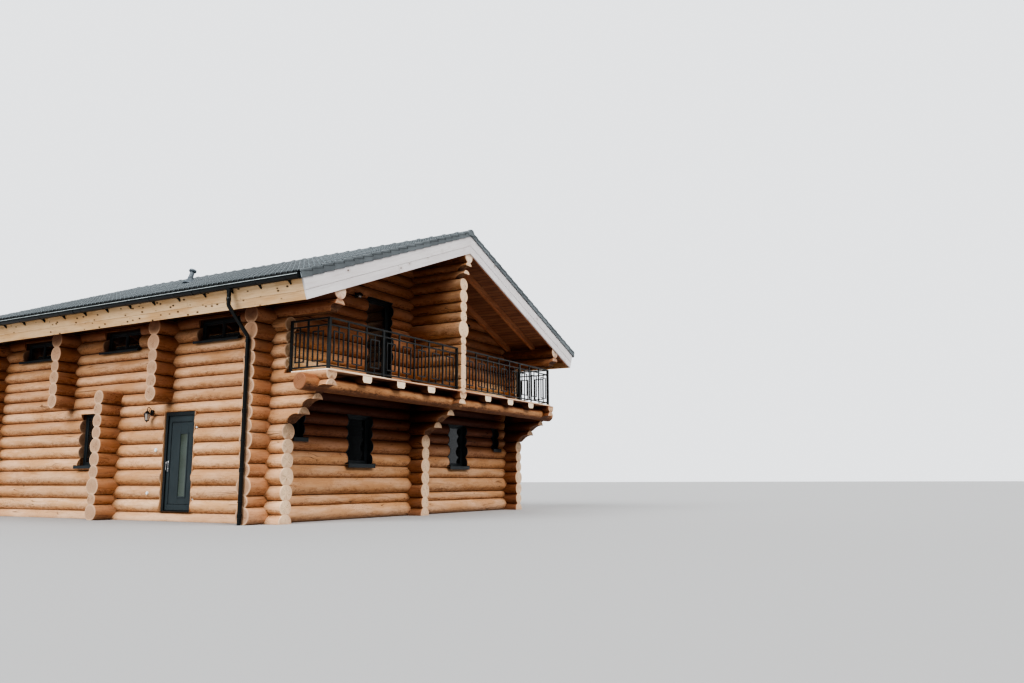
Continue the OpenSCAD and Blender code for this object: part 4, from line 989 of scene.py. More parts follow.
def round_log(g, axis, cu, cz, r, s0, s1, sd, zlo=None, zhi_fn=None, step=0.12, notches=(), wob=1.0, bev=0.014, n=30, tone=1.0):
    th = np.linspace(-math.pi / 2, 1.5 * math.pi, n + 1)[:-1]
    st = {s0, s0 + bev, s1 - bev, s1} | set(np.linspace(s0 + bev, s1 - bev, int((s1 - s0) / step) + 2))
    for a, b, q in notches:
        for e in (a, b):
            st |= {e - 0.03, e - 0.0004, e + 0.0004, e + 0.03}
    st = np.array(sorted(x for x in st if s0 <= x <= s1))
    st = st[np.concatenate([[True], np.diff(st) > 3e-4])]
    S = st[:, None]
    rr = r * (1 + wob * (0.014 * np.sin(S * 1.3 + sd * 40) + 0.013 * np.sin(S * 3.7 + th * 2 + sd * 70)
                         + 0.010 * np.sin(S * 8.9 + th * 3 + sd * 20) + 0.012 * np.sin(th * 2 + sd * 90)))
    sh = np.ones(len(st))
    sh[0] = sh[-1] = 1 - bev * 0.8 / r
    rr = rr * sh[:, None]
    du, zz = rr * np.cos(th), cz + rr * np.sin(th)
    if zlo is not None:
        zz = np.maximum(zz, zlo)
    if zhi_fn is not None:
        zz = np.minimum(zz, zhi_fn(cu + du))
    for a, b, q in notches:
        zz = np.where(((st >= a) & (st <= b))[:, None], np.minimum(zz, q), zz)
    U, SS = cu + du, np.repeat(S, n, 1)
    P = np.stack([SS, U, zz] if axis == "x" else [U, SS, zz], 2)
    LP = np.stack([du, zz - cz, SS], 2)
    m0 = len(st)
    kk = np.arange(n)
    j = (kk + 1) % n
    rows = np.arange(m0 - 3)[:, None] * n
    F = np.stack([rows + kk, rows + j, rows + n + j, rows + n + kk], 2).reshape(-1, 4)
    if axis == "y":
        F = F[:, ::-1]
    g.add(P[1:-1].reshape(-1, 3), F, LP[1:-1].reshape(-1, 3), (sd, 0, 0, 0))
    for e, ring, inner in ((0, 0, 1), (1, m0 - 1, m0 - 2)):
        v = np.concatenate([P[ring], P[inner], [P[ring].mean(0)]])
        l = np.concatenate([LP[ring], LP[inner], [LP[ring].mean(0)]])
        f = []
        out = (e == 1) != (axis == "y")
        for q in range(n):
            t = (q + 1) % n
            f.append((q, t, 2 * n) if out else (t, q, 2 * n))
            f.append((n + q, n + t, t, q) if out else (n + t, n + q, q, t))
        g.add(v, f, l, (sd, 0, tone, 0))


JOIST_X = (1.28, 2.45, 3.62)
for sy, nm in ((-1, "front"), (1, "back")):
    g = Geo()
    nt = [(s * x - 0.155, s * x + 0.155, 2.862) for s in (-1, 1) for x in JOIST_X]
    round_log(g, "x", sy * (HY + 1.27), 2.76, 0.165, -HX - 0.525, HX + 0.525, seed(), notches=nt, step=0.08, tone=0.52)
    g.obj(f"bearer_log_{nm}", BEAM, replaces=(f"bearer_{nm}",), slot="log_beam")
g = Geo()
for sx in (-1, 1):
    round_log(g, "y", sx * HX, 4.585, 0.18, -HY - 1.785, HY + 1.785, seed(), zlo=4.415,
              zhi_fn=lambda x: APEX - 0.40 - FALL * np.abs(x))
g.obj("plate_log_pair", BEAM, replaces=("plate_logs",), slot="log_beam")
g = Geo()
round_log(g, "y", 0.0, 6.397, 0.165, -HY - 1.784, HY + 1.784, seed(), zlo=6.24, zhi_fn=lambda x: APEX - 0.40 - FALL * np.abs(x))
g.obj("ridge_pole", BEAM, replaces=("ridge_log",), slot="log_beam")

# ---------------------------------------------------------------- balconies
for sy, nm in ((-1, "front"), (1, "back")):
    g = Geo()
    rows = 10
    for k in range(rows):
        a = HY + 0.165 + k * (1.425 / rows)
        b = a + 1.425 / rows - 0.006
        for sx in (-1, 1):
            x1 = HX + 0.06 if a > HY + 0.50 else HX - 0.16
            cuts = [0.15, 2.45 if k % 2 else 1.28, x1]
            for c0, c1 in zip(cuts, cuts[1:]):
                xs = sorted((sx * (c0 + 0.0015), sx * (c1 - 0.0015)))
                ys = sorted((sy * a, sy * b))
                cbox(g, (xs[0], ys[0], DECK_Z), (xs[1], ys[1], DECK_Z + DECK_T), 0.004, grain=0)
    g.obj(f"deck_boards_{nm}", DECKB, replaces=(f"deck_{nm}",), slot="sawn_wood")
    CAD[f"joists_{nm}"].data.materials.clear()
    CAD[f"joists_{nm}"].data.materials.append(SAWN)


def bar(g, x0, x1, y0, y1, z0, z1, c=0.003):
    cbox(g, (min(x0, x1), min(y0, y1), z0), (max(x0, x1), max(y0, y1), z1), c, sd=0.5)


def motif(g, put, t0, t1, zb, zr):
    """One bay between two bars: a long rectangle of slim bar with a bar through its middle."""
    w = t1 - t0
    q = [t0 + w * k / 4 for k in (1, 2, 3)]
    r0, r1 = zb + 0.115, zr - 0.115
    for t in (q[0], q[2]):
        put(t - 0.0125, t + 0.0125, 0.0125, r0, r1)
    put(q[1] - 0.0125, q[1] + 0.0125, 0.0125, zb, zr)
    for z in (r0, r1):
        put(q[0] - 0.0125, q[2] + 0.0125, 0.011, z - 0.0125, z + 0.0125)


z_rail2, z_bot = RAIL_TOP - 0.168, DECK_Z + DECK_T + 0.050
for sy, nm in ((-1, "front"), (1, "back")):
    g = Geo()
    y = sy * (HY + 1.528)
    for sx in (-1, 1):
        def put(a, b, h, z0, z1, sx=sx):
            bar(g, sx * a, sx * b, y - h, y + h, z0, z1, 0.002)
        stepx = (HX - 0.18) / 8
        x0 = 0.125
        put(x0, HX, 0.021, RAIL_TOP - 0.034, RAIL_TOP)
        put(x0, HX, 0.013, z_rail2, z_rail2 + 0.030)
        put(x0, HX, 0.014, z_bot, z_bot + 0.030)
        xs = [HX - k * stepx for k in range(8)] + [x0 + 0.022]
        for k, x in enumerate(xs):
            h = 0.030 if k == 0 else 0.026 if k in (3, 8) else 0.0165
            z0 = DECK_Z + DECK_T if k in (0, 3, 8) else z_bot
            put(x - h, x + h, h, z0, RAIL_TOP - 0.004)
            if k in (0, 3, 8):
                put(x - 0.045, x + 0.045, 0.04, DECK_Z + DECK_T, DECK_Z + DECK_T + 0.008)
        for a, b in zip(xs[1:], xs):
            motif(g, put, a, b, z_bot + 0.012, z_rail2 + 0.012)
    g.obj(f"rail_panels_{nm}", RAIL, replaces=(f"railing_{nm}",), slot="railing_steel")
    g = Geo()
    for sx in (-1, 1):
        def put(a, b, h, z0, z1, sx=sx):
            bar(g, sx * HX - h, sx * HX + h, sy * a, sy * b, z0, z1, 0.002)
        y0, y1 = HY + 0.505, HY + 1.528 - 0.0275
        put(y0, y1, 0.021, RAIL_TOP - 0.034, RAIL_TOP)
        put(y0, y1, 0.013, z_rail2, z_rail2 + 0.030)
        put(y0, y1, 0.014, z_bot, z_bot + 0.030)
        ym = HY + 0.970
        put(ym - 0.0165, ym + 0.0165, 0.0165, z_bot, RAIL_TOP - 0.004)
        put(y0, y0 + 0.045, 0.024, DECK_Z + DECK_T, RAIL_TOP - 0.004)
        motif(g, put, y0 + 0.022, ym, z_bot + 0.012, z_rail2 + 0.012)
        motif(g, put, ym, y1, z_bot + 0.012, z_rail2 + 0.012)
    g.obj(f"rail_sides_{nm}", RAIL, replaces=(f"railing_{nm}_sides",), slot="railing_steel")

# ---------------------------------------------------------------- roof edges and timbers
for n in ("roof_deck_w", "roof_deck_e"):
    CAD[n].data.materials.clear()
    CAD[n].data.materials.append(SOFFIT)
for n in ("rafters_w", "rafters_e"):
    CAD[n].data.materials.clear()
    CAD[n].data.materials.append(RAFTER)
CAD["eave_blocking"].data.materials.clear()
CAD["eave_blocking"].data.materials.append(BLOCK)


def slope_frame(sx, t0=None):
    """Origin at the barge-board's top corner at the eave: X up the slope, Y along the ridge, Z square to the slope."""
    x = sx * EAVE_X
    up = Vector((-sx * math.cos(PITCH), 0, math.sin(PITCH)))
    nrm = Vector((sx * math.sin(PITCH), 0, math.cos(PITCH)))
    yy = nrm.cross(up)
    return Matrix(((up.x, yy.x, nrm.x, x), (up.y, yy.y, nrm.y, 0), (up.z, yy.z, nrm.z, roof_z(x)), (0, 0, 0, 1)))


SLOPE = EAVE_X / math.cos(PITCH)
for sx, nm in ((-1, "w"), (1, "e")):
    g = Geo()
    M4 = slope_frame(sx)
    for sy in (-1, 1):
        yo = sy * (HY + VERGE)
        yi = yo - sy * 0.040
        # two boards, cut square at the eave and plumb at the ridge
        for lo_, hi_, off in ((-0.420, -0.241, 0.004), (-0.237, 0.0, 0.0)):
            sd = seed()
            for a, b in (((0.0, 3.05), (3.053, None)) if lo_ < -0.3 else ((0.0, None),)):
                pts = []
                def plumb(n_):  # where the board meets the plumb ridge line
                    return (EAVE_X + n_ * math.sin(PITCH)) / math.cos(PITCH) - 0.0015
                e_lo = b if b else plumb(lo_)
                e_hi = b if b else plumb(hi_)
                quad = [(a, lo_), (e_lo, lo_), (e_hi, hi_), (a, hi_)]
                ch = 0.004
                sd2 = seed()
                vo_, vi_ = [], []
                cen = (sum(q[0] for q in quad) / 4, (lo_ + hi_) / 2)
                for (t, n_) in quad:
                    vo_.append((t, n_))
                outer = yo - sy * off
                ring0 = [(t, n_, outer - sy * ch) for t, n_ in vo_]
                ring1 = [(t + (ch if t < cen[0] else -ch), n_ + (ch if n_ < cen[1] else -ch), outer) for t, n_ in vo_]
                ringb = [(t, n_, yi) for t, n_ in vo_]
                V = []
                L = []
                for (t, n_, y) in ringb + ring0 + ring1:
                    p = M4 @ Vector((t, 0, n_))
                    V.append((p.x, y, p.z))
                    L.append((n_, 0.0, t))
                F = []
                for k in range(4):
                    j = (k + 1) % 4
                    F.append((k, j, 4 + j, 4 + k))
                    F.append((4 + k, 4 + j, 8 + j, 8 + k))
                F.append((8, 9, 10, 11))
                F.append((3, 2, 1, 0))
                if sx * sy > 0:
                    F = [f[::-1] for f in F]
                g.add(V, F, L, (sd2, 0, 0, 0))
    g.obj(f"barge_pair_{nm}", BARGE, replaces=(f"barge_boards_{nm}",), slot="barge_white", smooth=0)

g = Geo()
for sx in (-1, 1):
    M4 = slope_frame(sx)
    y1 = HY + VERGE - 0.040
    for lo_, hi_ in ((-0.420, -0.2515), (-0.2485, 0.0)):
        joints = [-y1, -y1 + (5.1 if lo_ < -0.3 else 3.2), (3.9 if lo_ < -0.3 else 1.4), y1]
        for a, b in zip(joints, joints[1:]):
            ya, yb = sorted((sx * -1 * a, sx * -1 * b))
            cbox(g, (0.0, ya + 0.001, lo_), (0.040, yb - 0.001, hi_), 0.004, grain=1, M=M4)
g.obj("eave_boards", SPRUCE, replaces=("eave_fascias",), slot="fascia_spruce", smooth=0)

# ---------------------------------------------------------------- roof tiles
ROWS, COLS = 20, 46
T0 = -0.060
GAUGE = (SLOPE + 0.030 - T0) / ROWS
YR = HY + VERGE + 0.030
CW = 2 * YR / COLS
WAVE = [(0.0, 0.0), (0.012, 0.10), (0.024, 0.50), (0.036, 0.88), (0.048, 1.0), (0.060, 0.92), (0.072, 0.58), (0.084, 0.16),
        (0.096, 0.0), (0.122, -0.04)]
for sx, nm in ((-1, "w"), (1, "e")):
    g = Geo()
    M4 = np.array(slope_frame(sx))
    us = [u for u, _ in WAVE] + [u + 0.149 for u, _ in WAVE] + [0.298]
    hs = [h for _, h in WAVE] * 2 + [0.0]
    us = np.array(us) * CW / 0.298
    # how dark each point across the tile is: dirt in the pan, and painted shade on the south flank
    hollow = np.array([0.85, 1.0, 1.0, 0.75, 0.15, 0.0, 0.0, 0.05, 0.15, 0.45] * 2 + [0.85])
    # painted highlight along the crest of each roll
    painted_crest_highlight = np.array([0, 0, 0, 0, 0.7, 1.0, 1.0, 0.6, 0.2, 0.0] * 2 + [0.0])
    hs = np.array(hs) * 0.050
    nu = len(us)
    for r in range(ROWS):
        t0 = T0 + r * GAUGE
        t1 = t0 + GAUGE + (0.02 if r < ROWS - 1 else 0.0)
        for c in range(COLS):
            y0 = -YR + c * CW
            js = rng.uniform(-0.0015, 0.0015)
            sd = seed()
            base = 0.088 + js - EASE * max(t0, 0.0) / SLOPE
            y = (y0 + us) if sx < 0 else (y0 + CW - us)
            V, L = [], []
            pan = 0.90 * hollow
            # the first two rows are the butt face under the tile's nose, painted fully dark as shade
            for t, h, d in ((t0 + 0.016, hs - 0.004, np.ones(nu)), (t0 + 0.016, hs + 0.024, np.ones(nu)), (t0, hs + 0.024, 0.25 + pan),
                            (t0, hs + 0.040, pan), (t0 + 0.008, hs + 0.043, pan), (t1, hs, pan + 0.25)):
                V.append(np.stack([np.full(nu, t), -sx * y, base + h], 1))
                L.append(d)
            P = np.concatenate(V)
            Wp = P @ M4[:3, :3].T + M4[:3, 3]
            F = []
            for k in range(len(V) - 1):
                for q in range(nu - 1):
                    f = (k * nu + q, k * nu + q + 1, (k + 1) * nu + q + 1, (k + 1) * nu + q)
                    F.append(f)
            lc = np.zeros((len(P), 4))
            lc[:, 0] = sd
            lc[:, 1] = np.concatenate(L)
            lc[:, 2] = np.tile(painted_crest_highlight, len(V))
            g.add(Wp, F, None, lc)
    ob = g.obj(f"tile_field_{nm}", TILE, replaces=(f"roof_tiles_{nm}",), slot="roof_tile", smooth=50)
    # plates turned down over the barge boards, one to a course
    g = Geo()
    M4 = slope_frame(sx)
    for sy in (-1, 1):
        yo = HY + VERGE + 0.004
        for r in range(ROWS):
            t0 = T0 + r * GAUGE
            a = Matrix.Translation((t0, 0, 0)) @ Matrix.Rotation(math.atan(0.020 / GAUGE), 4, "Y")
            ys = sorted((sy * yo, sy * (yo + 0.020)))
            if sx > 0:
                ys = [-ys[1], -ys[0]]
            ys = [(-v if sx < 0 else v) for v in ys]
            ys = sorted(ys)
            end = t0 + GAUGE + 0.015
            cbox(g, (0.0, ys[0], 0.006), (min(GAUGE + 0.012, SLOPE + 0.0 - t0), ys[1], 0.158 - EASE * max(t0, 0.0) / SLOPE), 0.005, grain=0, M=M4 @ a)
            # the rolled edge over the plate
            ym = sum(ys) / 2
            pts = [M4 @ a @ Vector((t, ym + (0.010 if ym < 0 else -0.010), 0.156 - EASE * max(t0, 0.0) / SLOPE)) for t in (0.0, GAUGE * 0.5, GAUGE)]
            tube(g, [tuple(p) for p in pts], 0.020, 8, sd=seed())
    g.obj(f"verge_plates_{nm}", TILE, slot="roof_tile", smooth=40)

g = Geo()
npc = 33
pc = 2 * (YR + 0.005) / npc
for k in range(npc):
    y0 = -YR - 0.005 + k * pc
    V = []
    nseg = 14
    for y, grow, lift in ((y0, 0.010, 0.0), (y0 + 0.012, 0.014, 0.0), (y0 + 0.06, 0.014, 0.0), (y0 + 0.065, 0.002, 0.0), (y0 + pc + 0.02, -0.004, -0.002)):
        for q in range(nseg + 1):
            a = math.pi * q / nseg
            R = 0.128 + grow
            x = R * math.cos(a)
            z = APEX + 0.020 + lift + (0.132 + grow) * math.sin(a) ** 0.85 - 0.02 * (abs(math.cos(a)) ** 3)
            V.append((x, y, z))
    F = []
    for r in range(4):
        for q in range(nseg):
            F.append((r * (nseg + 1) + q, (r + 1) * (nseg + 1) + q, (r + 1) * (nseg + 1) + q + 1, r * (nseg + 1) + q + 1))
    F.append(tuple(range(nseg + 1)))
    g.add(V, F, None, (seed(), 0, 0, 0))
for sy in (-1, 1):
    y = sy * (YR + 0.004)
    V = [(0.124 * math.cos(math.pi * q / 12), y, APEX + 0.015 + 0.13 * math.sin(math.pi * q / 12)) for q in range(13)]
    F = [tuple(range(13)) if sy < 0 else tuple(range(13))[::-1]]
    g.add(V, F, None, (0.4, 0, 0, 0))
g.obj("ridge_caps", TILE, replaces=("ridge_tiles",), slot="roof_tile", smooth=50)

# ---------------------------------------------------------------- gutters, pipes and vents
g = Geo()
for sx in (-1, 1):
    cx, cz = sx * (EAVE_X + 0.082), 4.655

    def arc(R, z_end, k0=17):
        pts = [(R * math.cos(math.pi + math.pi * k / (k0 - 1)), R * math.sin(math.pi + math.pi * k / (k0 - 1))) for k in range(k0)]
        return [(-R, z_end)] + pts + [(R, z_end)]

    outer, inner = arc(0.070, 0.038), arc(0.065, 0.038)[::-1]
    y_end = HY + VERGE - 0.008
    prism(g, [(cx + a, cz + b) for a, b in outer + inner], "y", -y_end, y_end, sd=0.5)
    for sy in (-1, 1):
        prism(g, [(cx + a, cz + b) for a, b in arc(0.073, 0.036)], "y", sy * y_end - 0.004, sy * y_end + 0.004, sd=0.5)
    for k in range(17):  # brackets
        yb = -6.2 + k * 12.4 / 16
        prism(g, [(cx + a, cz + b) for a, b in arc(0.0745, 0.020, 11) + arc(0.069, 0.020, 11)[::-1]], "y", yb - 0.012, yb + 0.012, sd=0.4)
        fo = slope_frame(sx) @ Vector((0.0, 0, -0.080))
        prism(g, [(fo.x, fo.z - 0.02), (fo.x + sx * 0.006, fo.z - 0.02), (cx - sx * 0.02, cz - 0.064), (fo.x, cz - 0.040)][::sx], "y", yb - 0.010, yb + 0.010, sd=0.4)
    for yj in (-3.6, 0.3, 4.1):  # unions
        prism(g, [(cx + a, cz + b) for a, b in arc(0.076, 0.034) + arc(0.069, 0.034)[::-1]], "y", yj - 0.05, yj + 0.05, sd=0.6)
    fx = cx + sx * 0.072
    # a thin light tube along the front of the gutter: painted reflection of the sky
    tube(g, [(fx, -y_end, cz + 0.020), (fx, y_end, cz + 0.020)], 0.0085, 10, m=1)
    tube(g, [(fx - sx * 0.003, -y_end, cz + 0.038), (fx - sx * 0.003, y_end, cz + 0.038)], 0.010, 10)
    p = slope_frame(sx) @ Vector((T0 - 0.012, 0, 0.088 + 0.056))
    prism(g, [(p.x, cz + 0.02), (p.x, p.z), (p.x + sx * 0.004, p.z), (p.x + sx * 0.004, cz + 0.02)][::-sx], "y", -y_end, y_end, sd=0.5)
g.obj("gutter_runs", [GUTTER, BEAD_HIGHLIGHT], replaces=("gutters",), slot="gutter_metal", smooth=45)

g = Geo()
for sx in (-1, 1):
    for sy in (-1, 1):
        X0, Y0 = sx * (EAVE_X + 0.082), sy * (HY - 0.040)
        X1, Y1 = sx * (HX + FLY + 0.056), sy * HY
        path = bend([(X0, Y0, 4.605), (X0, Y0, 4.268), (X1, Y1, 3.71), (X1, Y1, 0.0)], 0.10, 7)
        tube(g, path, 0.040, 18)
        # funnel under the gutter
        lathe(g, [(0.058, 0.02), (0.056, -0.02), (0.043, -0.06), (0.0425, -0.09)], Matrix.Translation((X0, Y0, 4.60)), 18)
        for z, h in ((3.60, 0.06), (1.02, 0.08), (2.18, 0.08), (0.14, 0.07)):
            lathe(g, [(0.0405, -0.006), (0.0475, 0.0), (0.0475, h), (0.0405, h + 0.006)], Matrix.Translation((X1, Y1, z)), 18)
        lathe(g, [(0.0405, -0.006), (0.0465, 0.0), (0.0465, 0.06), (0.0405, 0.066)], Matrix.Translation((X0, Y0, 4.36)), 18)
        for z in (0.44, 1.64, 3.30):
            lathe(g, [(0.0405, -0.016), (0.045, -0.014), (0.045, 0.014), (0.0405, 0.016)], Matrix.Translation((X1, Y1, z)), 18)
            tube(g, [(X1 - sx * 0.03, Y1, z), (sx * (HX + FLY), Y1, z)], 0.007, 8)
            cbox(g, (min(X1, X1 + sx * 0.005) - 0.012, Y1 - 0.058, z - 0.012), (max(X1, X1 + sx * 0.005) + 0.012, Y1 + 0.058, z + 0.012), 0.003)
g.obj("downpipe_runs", GUTTER, replaces=("downpipes",), slot="gutter_metal", smooth=45)

g = Geo()
for sx in (-1, 1):
    base = Vector((sx * 3.30, -0.20, roof_z(3.30) + 0.137))
    lean = Matrix.Translation(base) @ Matrix.Rotation(-sx * math.radians(16), 4, "Y")
    slope = Matrix.Translation(base) @ Matrix.Rotation(sx * PITCH, 4, "Y")
    lathe(g, [(0.150, -0.02), (0.146, 0.006), (0.118, 0.030), (0.088, 0.075), (0.070, 0.130), (0.062, 0.150)], lean, 24)
    cbox(g, (-0.20, -0.15, -0.030), (0.20, 0.15, 0.008), 0.012, M=slope)
    lathe(g, [(0.056, 0.0), (0.056, 0.345)], lean, 24)
    lathe(g, [(0.060, 0.150), (0.066, 0.155), (0.066, 0.185), (0.060, 0.190)], lean, 24)
    lathe(g, [(0.050, 0.325), (0.062, 0.330), (0.086, 0.340), (0.093, 0.352), (0.093, 0.376), (0.086, 0.390), (0.060, 0.402), (0.0, 0.406)], lean, 24)
g.obj("vent_pipes", VENT, replaces=("roof_vents",), slot="vent_plastic", smooth=45)


# ---------------------------------------------------------------- windows and doors
def put_x(sx):
    """Boxes on a long wall: depth d outwards from the wall line, y, z."""
    def f(g, d0, d1, y0, y1, z0, z1, c=0.004, m=0, **kw):
        xs = sorted((sx * (HX + d0), sx * (HX + d1)))
        cbox(g, (xs[0], y0, z0), (xs[1], y1, z1), c, m=m, sd=0.5, **kw)
    return f


def put_y(sy, sx):
    def f(g, d0, d1, a0, a1, z0, z1, c=0.004, m=0, **kw):
        ys = sorted((sy * (HY + d0), sy * (HY + d1)))
        xs = sorted((sx * a0, sx * a1))
        cbox(g, (xs[0], ys[0], z0), (xs[1], ys[1], z1), c, m=m, sd=0.5, **kw)
    return f


def ring(g, put, d0, d1, a0, a1, z0, z1, w, c=0.004, m=0, wb=None):
    wb = w if wb is None else wb
    put(g, d0, d1, a0, a0 + w, z0, z1, c, m)
    put(g, d0, d1, a1 - w, a1, z0, z1, c, m)
    put(g, d0, d1, a0 + w, a1 - w, z1 - w, z1, c, m)
    put(g, d0, d1, a0 + w, a1 - w, z0, z0 + wb, c, m)


def window(g, put, a0, a1, z0, z1, bars=False, open_sash=False):
    ring(g, put, SET - 0.070, SET, a0 + 0.004, a1 - 0.004, z0 + 0.002, z1 - 0.002, 0.046)
    cells = [(a0 + 0.050, a1 - 0.050)] if not bars else [(a0 + 0.050, (a0 + a1) / 2 - 0.004), ((a0 + a1) / 2 + 0.004, a1 - 0.050)]
    if bars:
        put(g, SET - 0.065, SET - 0.004, (a0 + a1) / 2 - 0.022, (a0 + a1) / 2 + 0.022, z0 + 0.03, z1 - 0.03)
    for b0, b1 in cells:
        ring(g, put, SET - 0.058, SET - 0.010, b0, b1, z0 + 0.048, z1 - 0.048, 0.040)
        ring(g, put, SET - 0.030, SET - 0.018, b0 + 0.036, b1 - 0.036, z0 + 0.084, z1 - 0.084, 0.010, 0.002)


def sill(g, put, a0, a1, z, over, face):
    # a folded metal sill: top, face turned down, and end upstands
    put(g, SET - 0.004, 0.224, a0 + 0.002, a1 - 0.002, z + 0.001, z + 0.014, 0.003)
    put(g, 0.112, 0.224, a0 - over, a1 + over, z + 0.001, z + 0.014, 0.003)
    put(g, 0.212, 0.227, a0 - over, a1 + over, z - face, z + 0.015, 0.003)
    for a in (a0 - over, a1 + over - 0.006):
        put(g, 0.112, 0.226, a, a + 0.006, z + 0.001, z + 0.026, 0.002)


def bulge(z):
    """How far the gable logs stand out at a height."""
    i = max(k for k in range(len(GABLE_Z) - 1) if GABLE_Z[k] <= z)
    d = max(r_of(GABLE_Z, k) ** 2 - (z - cz_of(GABLE_Z, k)) ** 2 if 0 <= k < len(GABLE_Z) - 1 else 0 for k in (i - 1, i, i + 1))
    return math.sqrt(max(d, 0.0001))


def reveal(g, sx, sy, a0, a1, z0, z1):
    """Dark boards lining a hole in a gable wall, their outer edges shaped to the logs."""
    zs = list(np.arange(z0, z1, 0.018)) + [z1]
    poly = [(sy * (HY + SET - 0.002), z0)] + [(sy * (HY + bulge(z) + 0.004), z) for z in zs] + [(sy * (HY + SET - 0.002), z1)]
    for b0, b1 in ((a0, a0 + 0.014), (a1 - 0.014, a1)):
        x0, x1 = sorted((sx * b0, sx * b1))
        prism(g, poly if sy > 0 else poly[::-1], "x", x0, x1, sd=0.5)
    put_y(sy, sx)(g, SET - 0.002, bulge(z1) + 0.004, a0 + 0.014, a1 - 0.014, z1 - 0.014, z1, 0.003)


gf, gs = Geo(), Geo()
for sx in (-1, 1):
    P_ = put_x(sx)
    for y in STRIP_Y:
        window(gf, P_, y - STRIP_W / 2, y + STRIP_W / 2, *STRIP_Z, bars=True)
        sill(gs, P_, y - STRIP_W / 2, y + STRIP_W / 2, STRIP_Z[0], 0.055, 0.035)
    window(gf, P_, LOW_Y - LOW_W / 2, LOW_Y + LOW_W / 2, *LOW_Z)
    sill(gs, P_, LOW_Y - LOW_W / 2, LOW_Y + LOW_W / 2, LOW_Z[0], 0.055, 0.055)
    for sy in (-1, 1):
        Q_ = put_y(sy, sx)
        window(gf, Q_, *SMALL_X, *SMALL_Z)
        sill(gs, Q_, *SMALL_X, SMALL_Z[0], 0.045, 0.075)
        reveal(gf, sx, sy, *SMALL_X, SMALL_Z[0] + 0.018, SMALL_Z[1])
        window(gf, Q_, *TALL_X, *TALL_Z)
        sill(gs, Q_, *TALL_X, TALL_Z[0], 0.045, 0.078)
        reveal(gf, sx, sy, *TALL_X, TALL_Z[0] + 0.018, TALL_Z[1])
gf.obj("window_frame_set", FRAME, replaces=("window_frames",), slot="frame_paint", smooth=30)
gs.obj("window_sill_set", FRAME, replaces=("window_sills",), slot="frame_paint", smooth=30)
CAD["window_glass"].data.materials.clear()
CAD["window_glass"].data.materials.append(PANE)

g = Geo()
for sx in (-1, 1):
    for sy in (-1, 1):
        Q_ = put_y(sy, sx)
        a0, a1 = BDOOR_X
        z0, z1 = BDOOR_Z
        ring(g, Q_, SET - 0.070, SET, a0 + 0.003, a1 - 0.003, z0, z1 - 0.002, 0.050)
        Q_(g, SET - 0.070, 0.145, a0 + 0.016, a1 - 0.016, z0, z0 + 0.035)
        reveal(g, sx, sy, a0, a1, z0, z1)
        ring(g, Q_, SET - 0.060, SET - 0.008, a0 + 0.055, a1 - 0.055, z0 + 0.045, z1 - 0.052, 0.048, wb=0.060)
        ring(g, Q_, SET - 0.030, SET - 0.018, a0 + 0.10, a1 - 0.10, z0 + 0.10, z1 - 0.096, 0.012, 0.002)
        # handle
        Q_(g, SET - 0.008, SET, a1 - 0.092, a1 - 0.064, 4.00, 4.16, 0.003, 0)
        Q_(g, SET, SET + 0.040, a1 - 0.084, a1 - 0.072, 4.095, 4.107, 0.003, 0)
        Q_(g, SET + 0.030, SET + 0.040, a1 - 0.19, a1 - 0.072, 4.093, 4.109, 0.003, 0)
g.obj("balcony_door_set", FRAME, replaces=("balcony_doors",), slot="frame_paint", smooth=30)

# wooden linings in the entry doorways
g = Geo()
for sx in (-1, 1):
    P_ = put_x(sx)
    for y0, y1 in ((DOOR_Y[0], DOOR_Y[0] + 0.012), (DOOR_Y[1] - 0.012, DOOR_Y[1])):
        cbox(g, (min(sx * (HX - 0.17), sx * (HX + 0.150)), y0, DOOR_Z[0] + 0.002), (max(sx * (HX - 0.17), sx * (HX + 0.150)), y1, DOOR_Z[1] - 0.002), 0.003, grain=2)
g.obj("door_linings", JAMB, slot="sawn_wood", smooth=30)

# west entry door: fixed frame
g = Geo()
P_ = put_x(-1)
y0, y1 = DOOR_Y[0] + 0.013, DOOR_Y[1] - 0.013
z0, z1 = DOOR_Z
ring(g, P_, 0.015, 0.112, y0, y1, z0 + 0.002, z1 - 0.002, 0.047, wb=0.018)
for a, b in ((y0 + 0.047, y0 + 0.066), (y1 - 0.066, y1 - 0.047)):
    P_(g, 0.083, 0.110, a, b, z0 + 0.018, z1 - 0.05, 0.003)
P_(g, 0.083, 0.110, y0 + 0.06, y1 - 0.06, z1 - 0.078, z1 - 0.045, 0.003)
for z in (0.43, 1.20, 1.99):
    lathe(g, [(0.0, 0.0), (0.010, 0.001), (0.010, 0.044), (0.0, 0.045)], Matrix.Translation((-4.775, -2.59, z)), 14)
    cbox(g, (-4.790, -2.628, z + 0.005), (-4.781, -2.595, z + 0.040), 0.002)
g.obj("entry_surround", FRAME, replaces=("entry_frame_w",), slot="frame_paint", smooth=30)

LY0, LY1, LZ0, LZ1 = -2.582, -1.738, 0.228, 2.282


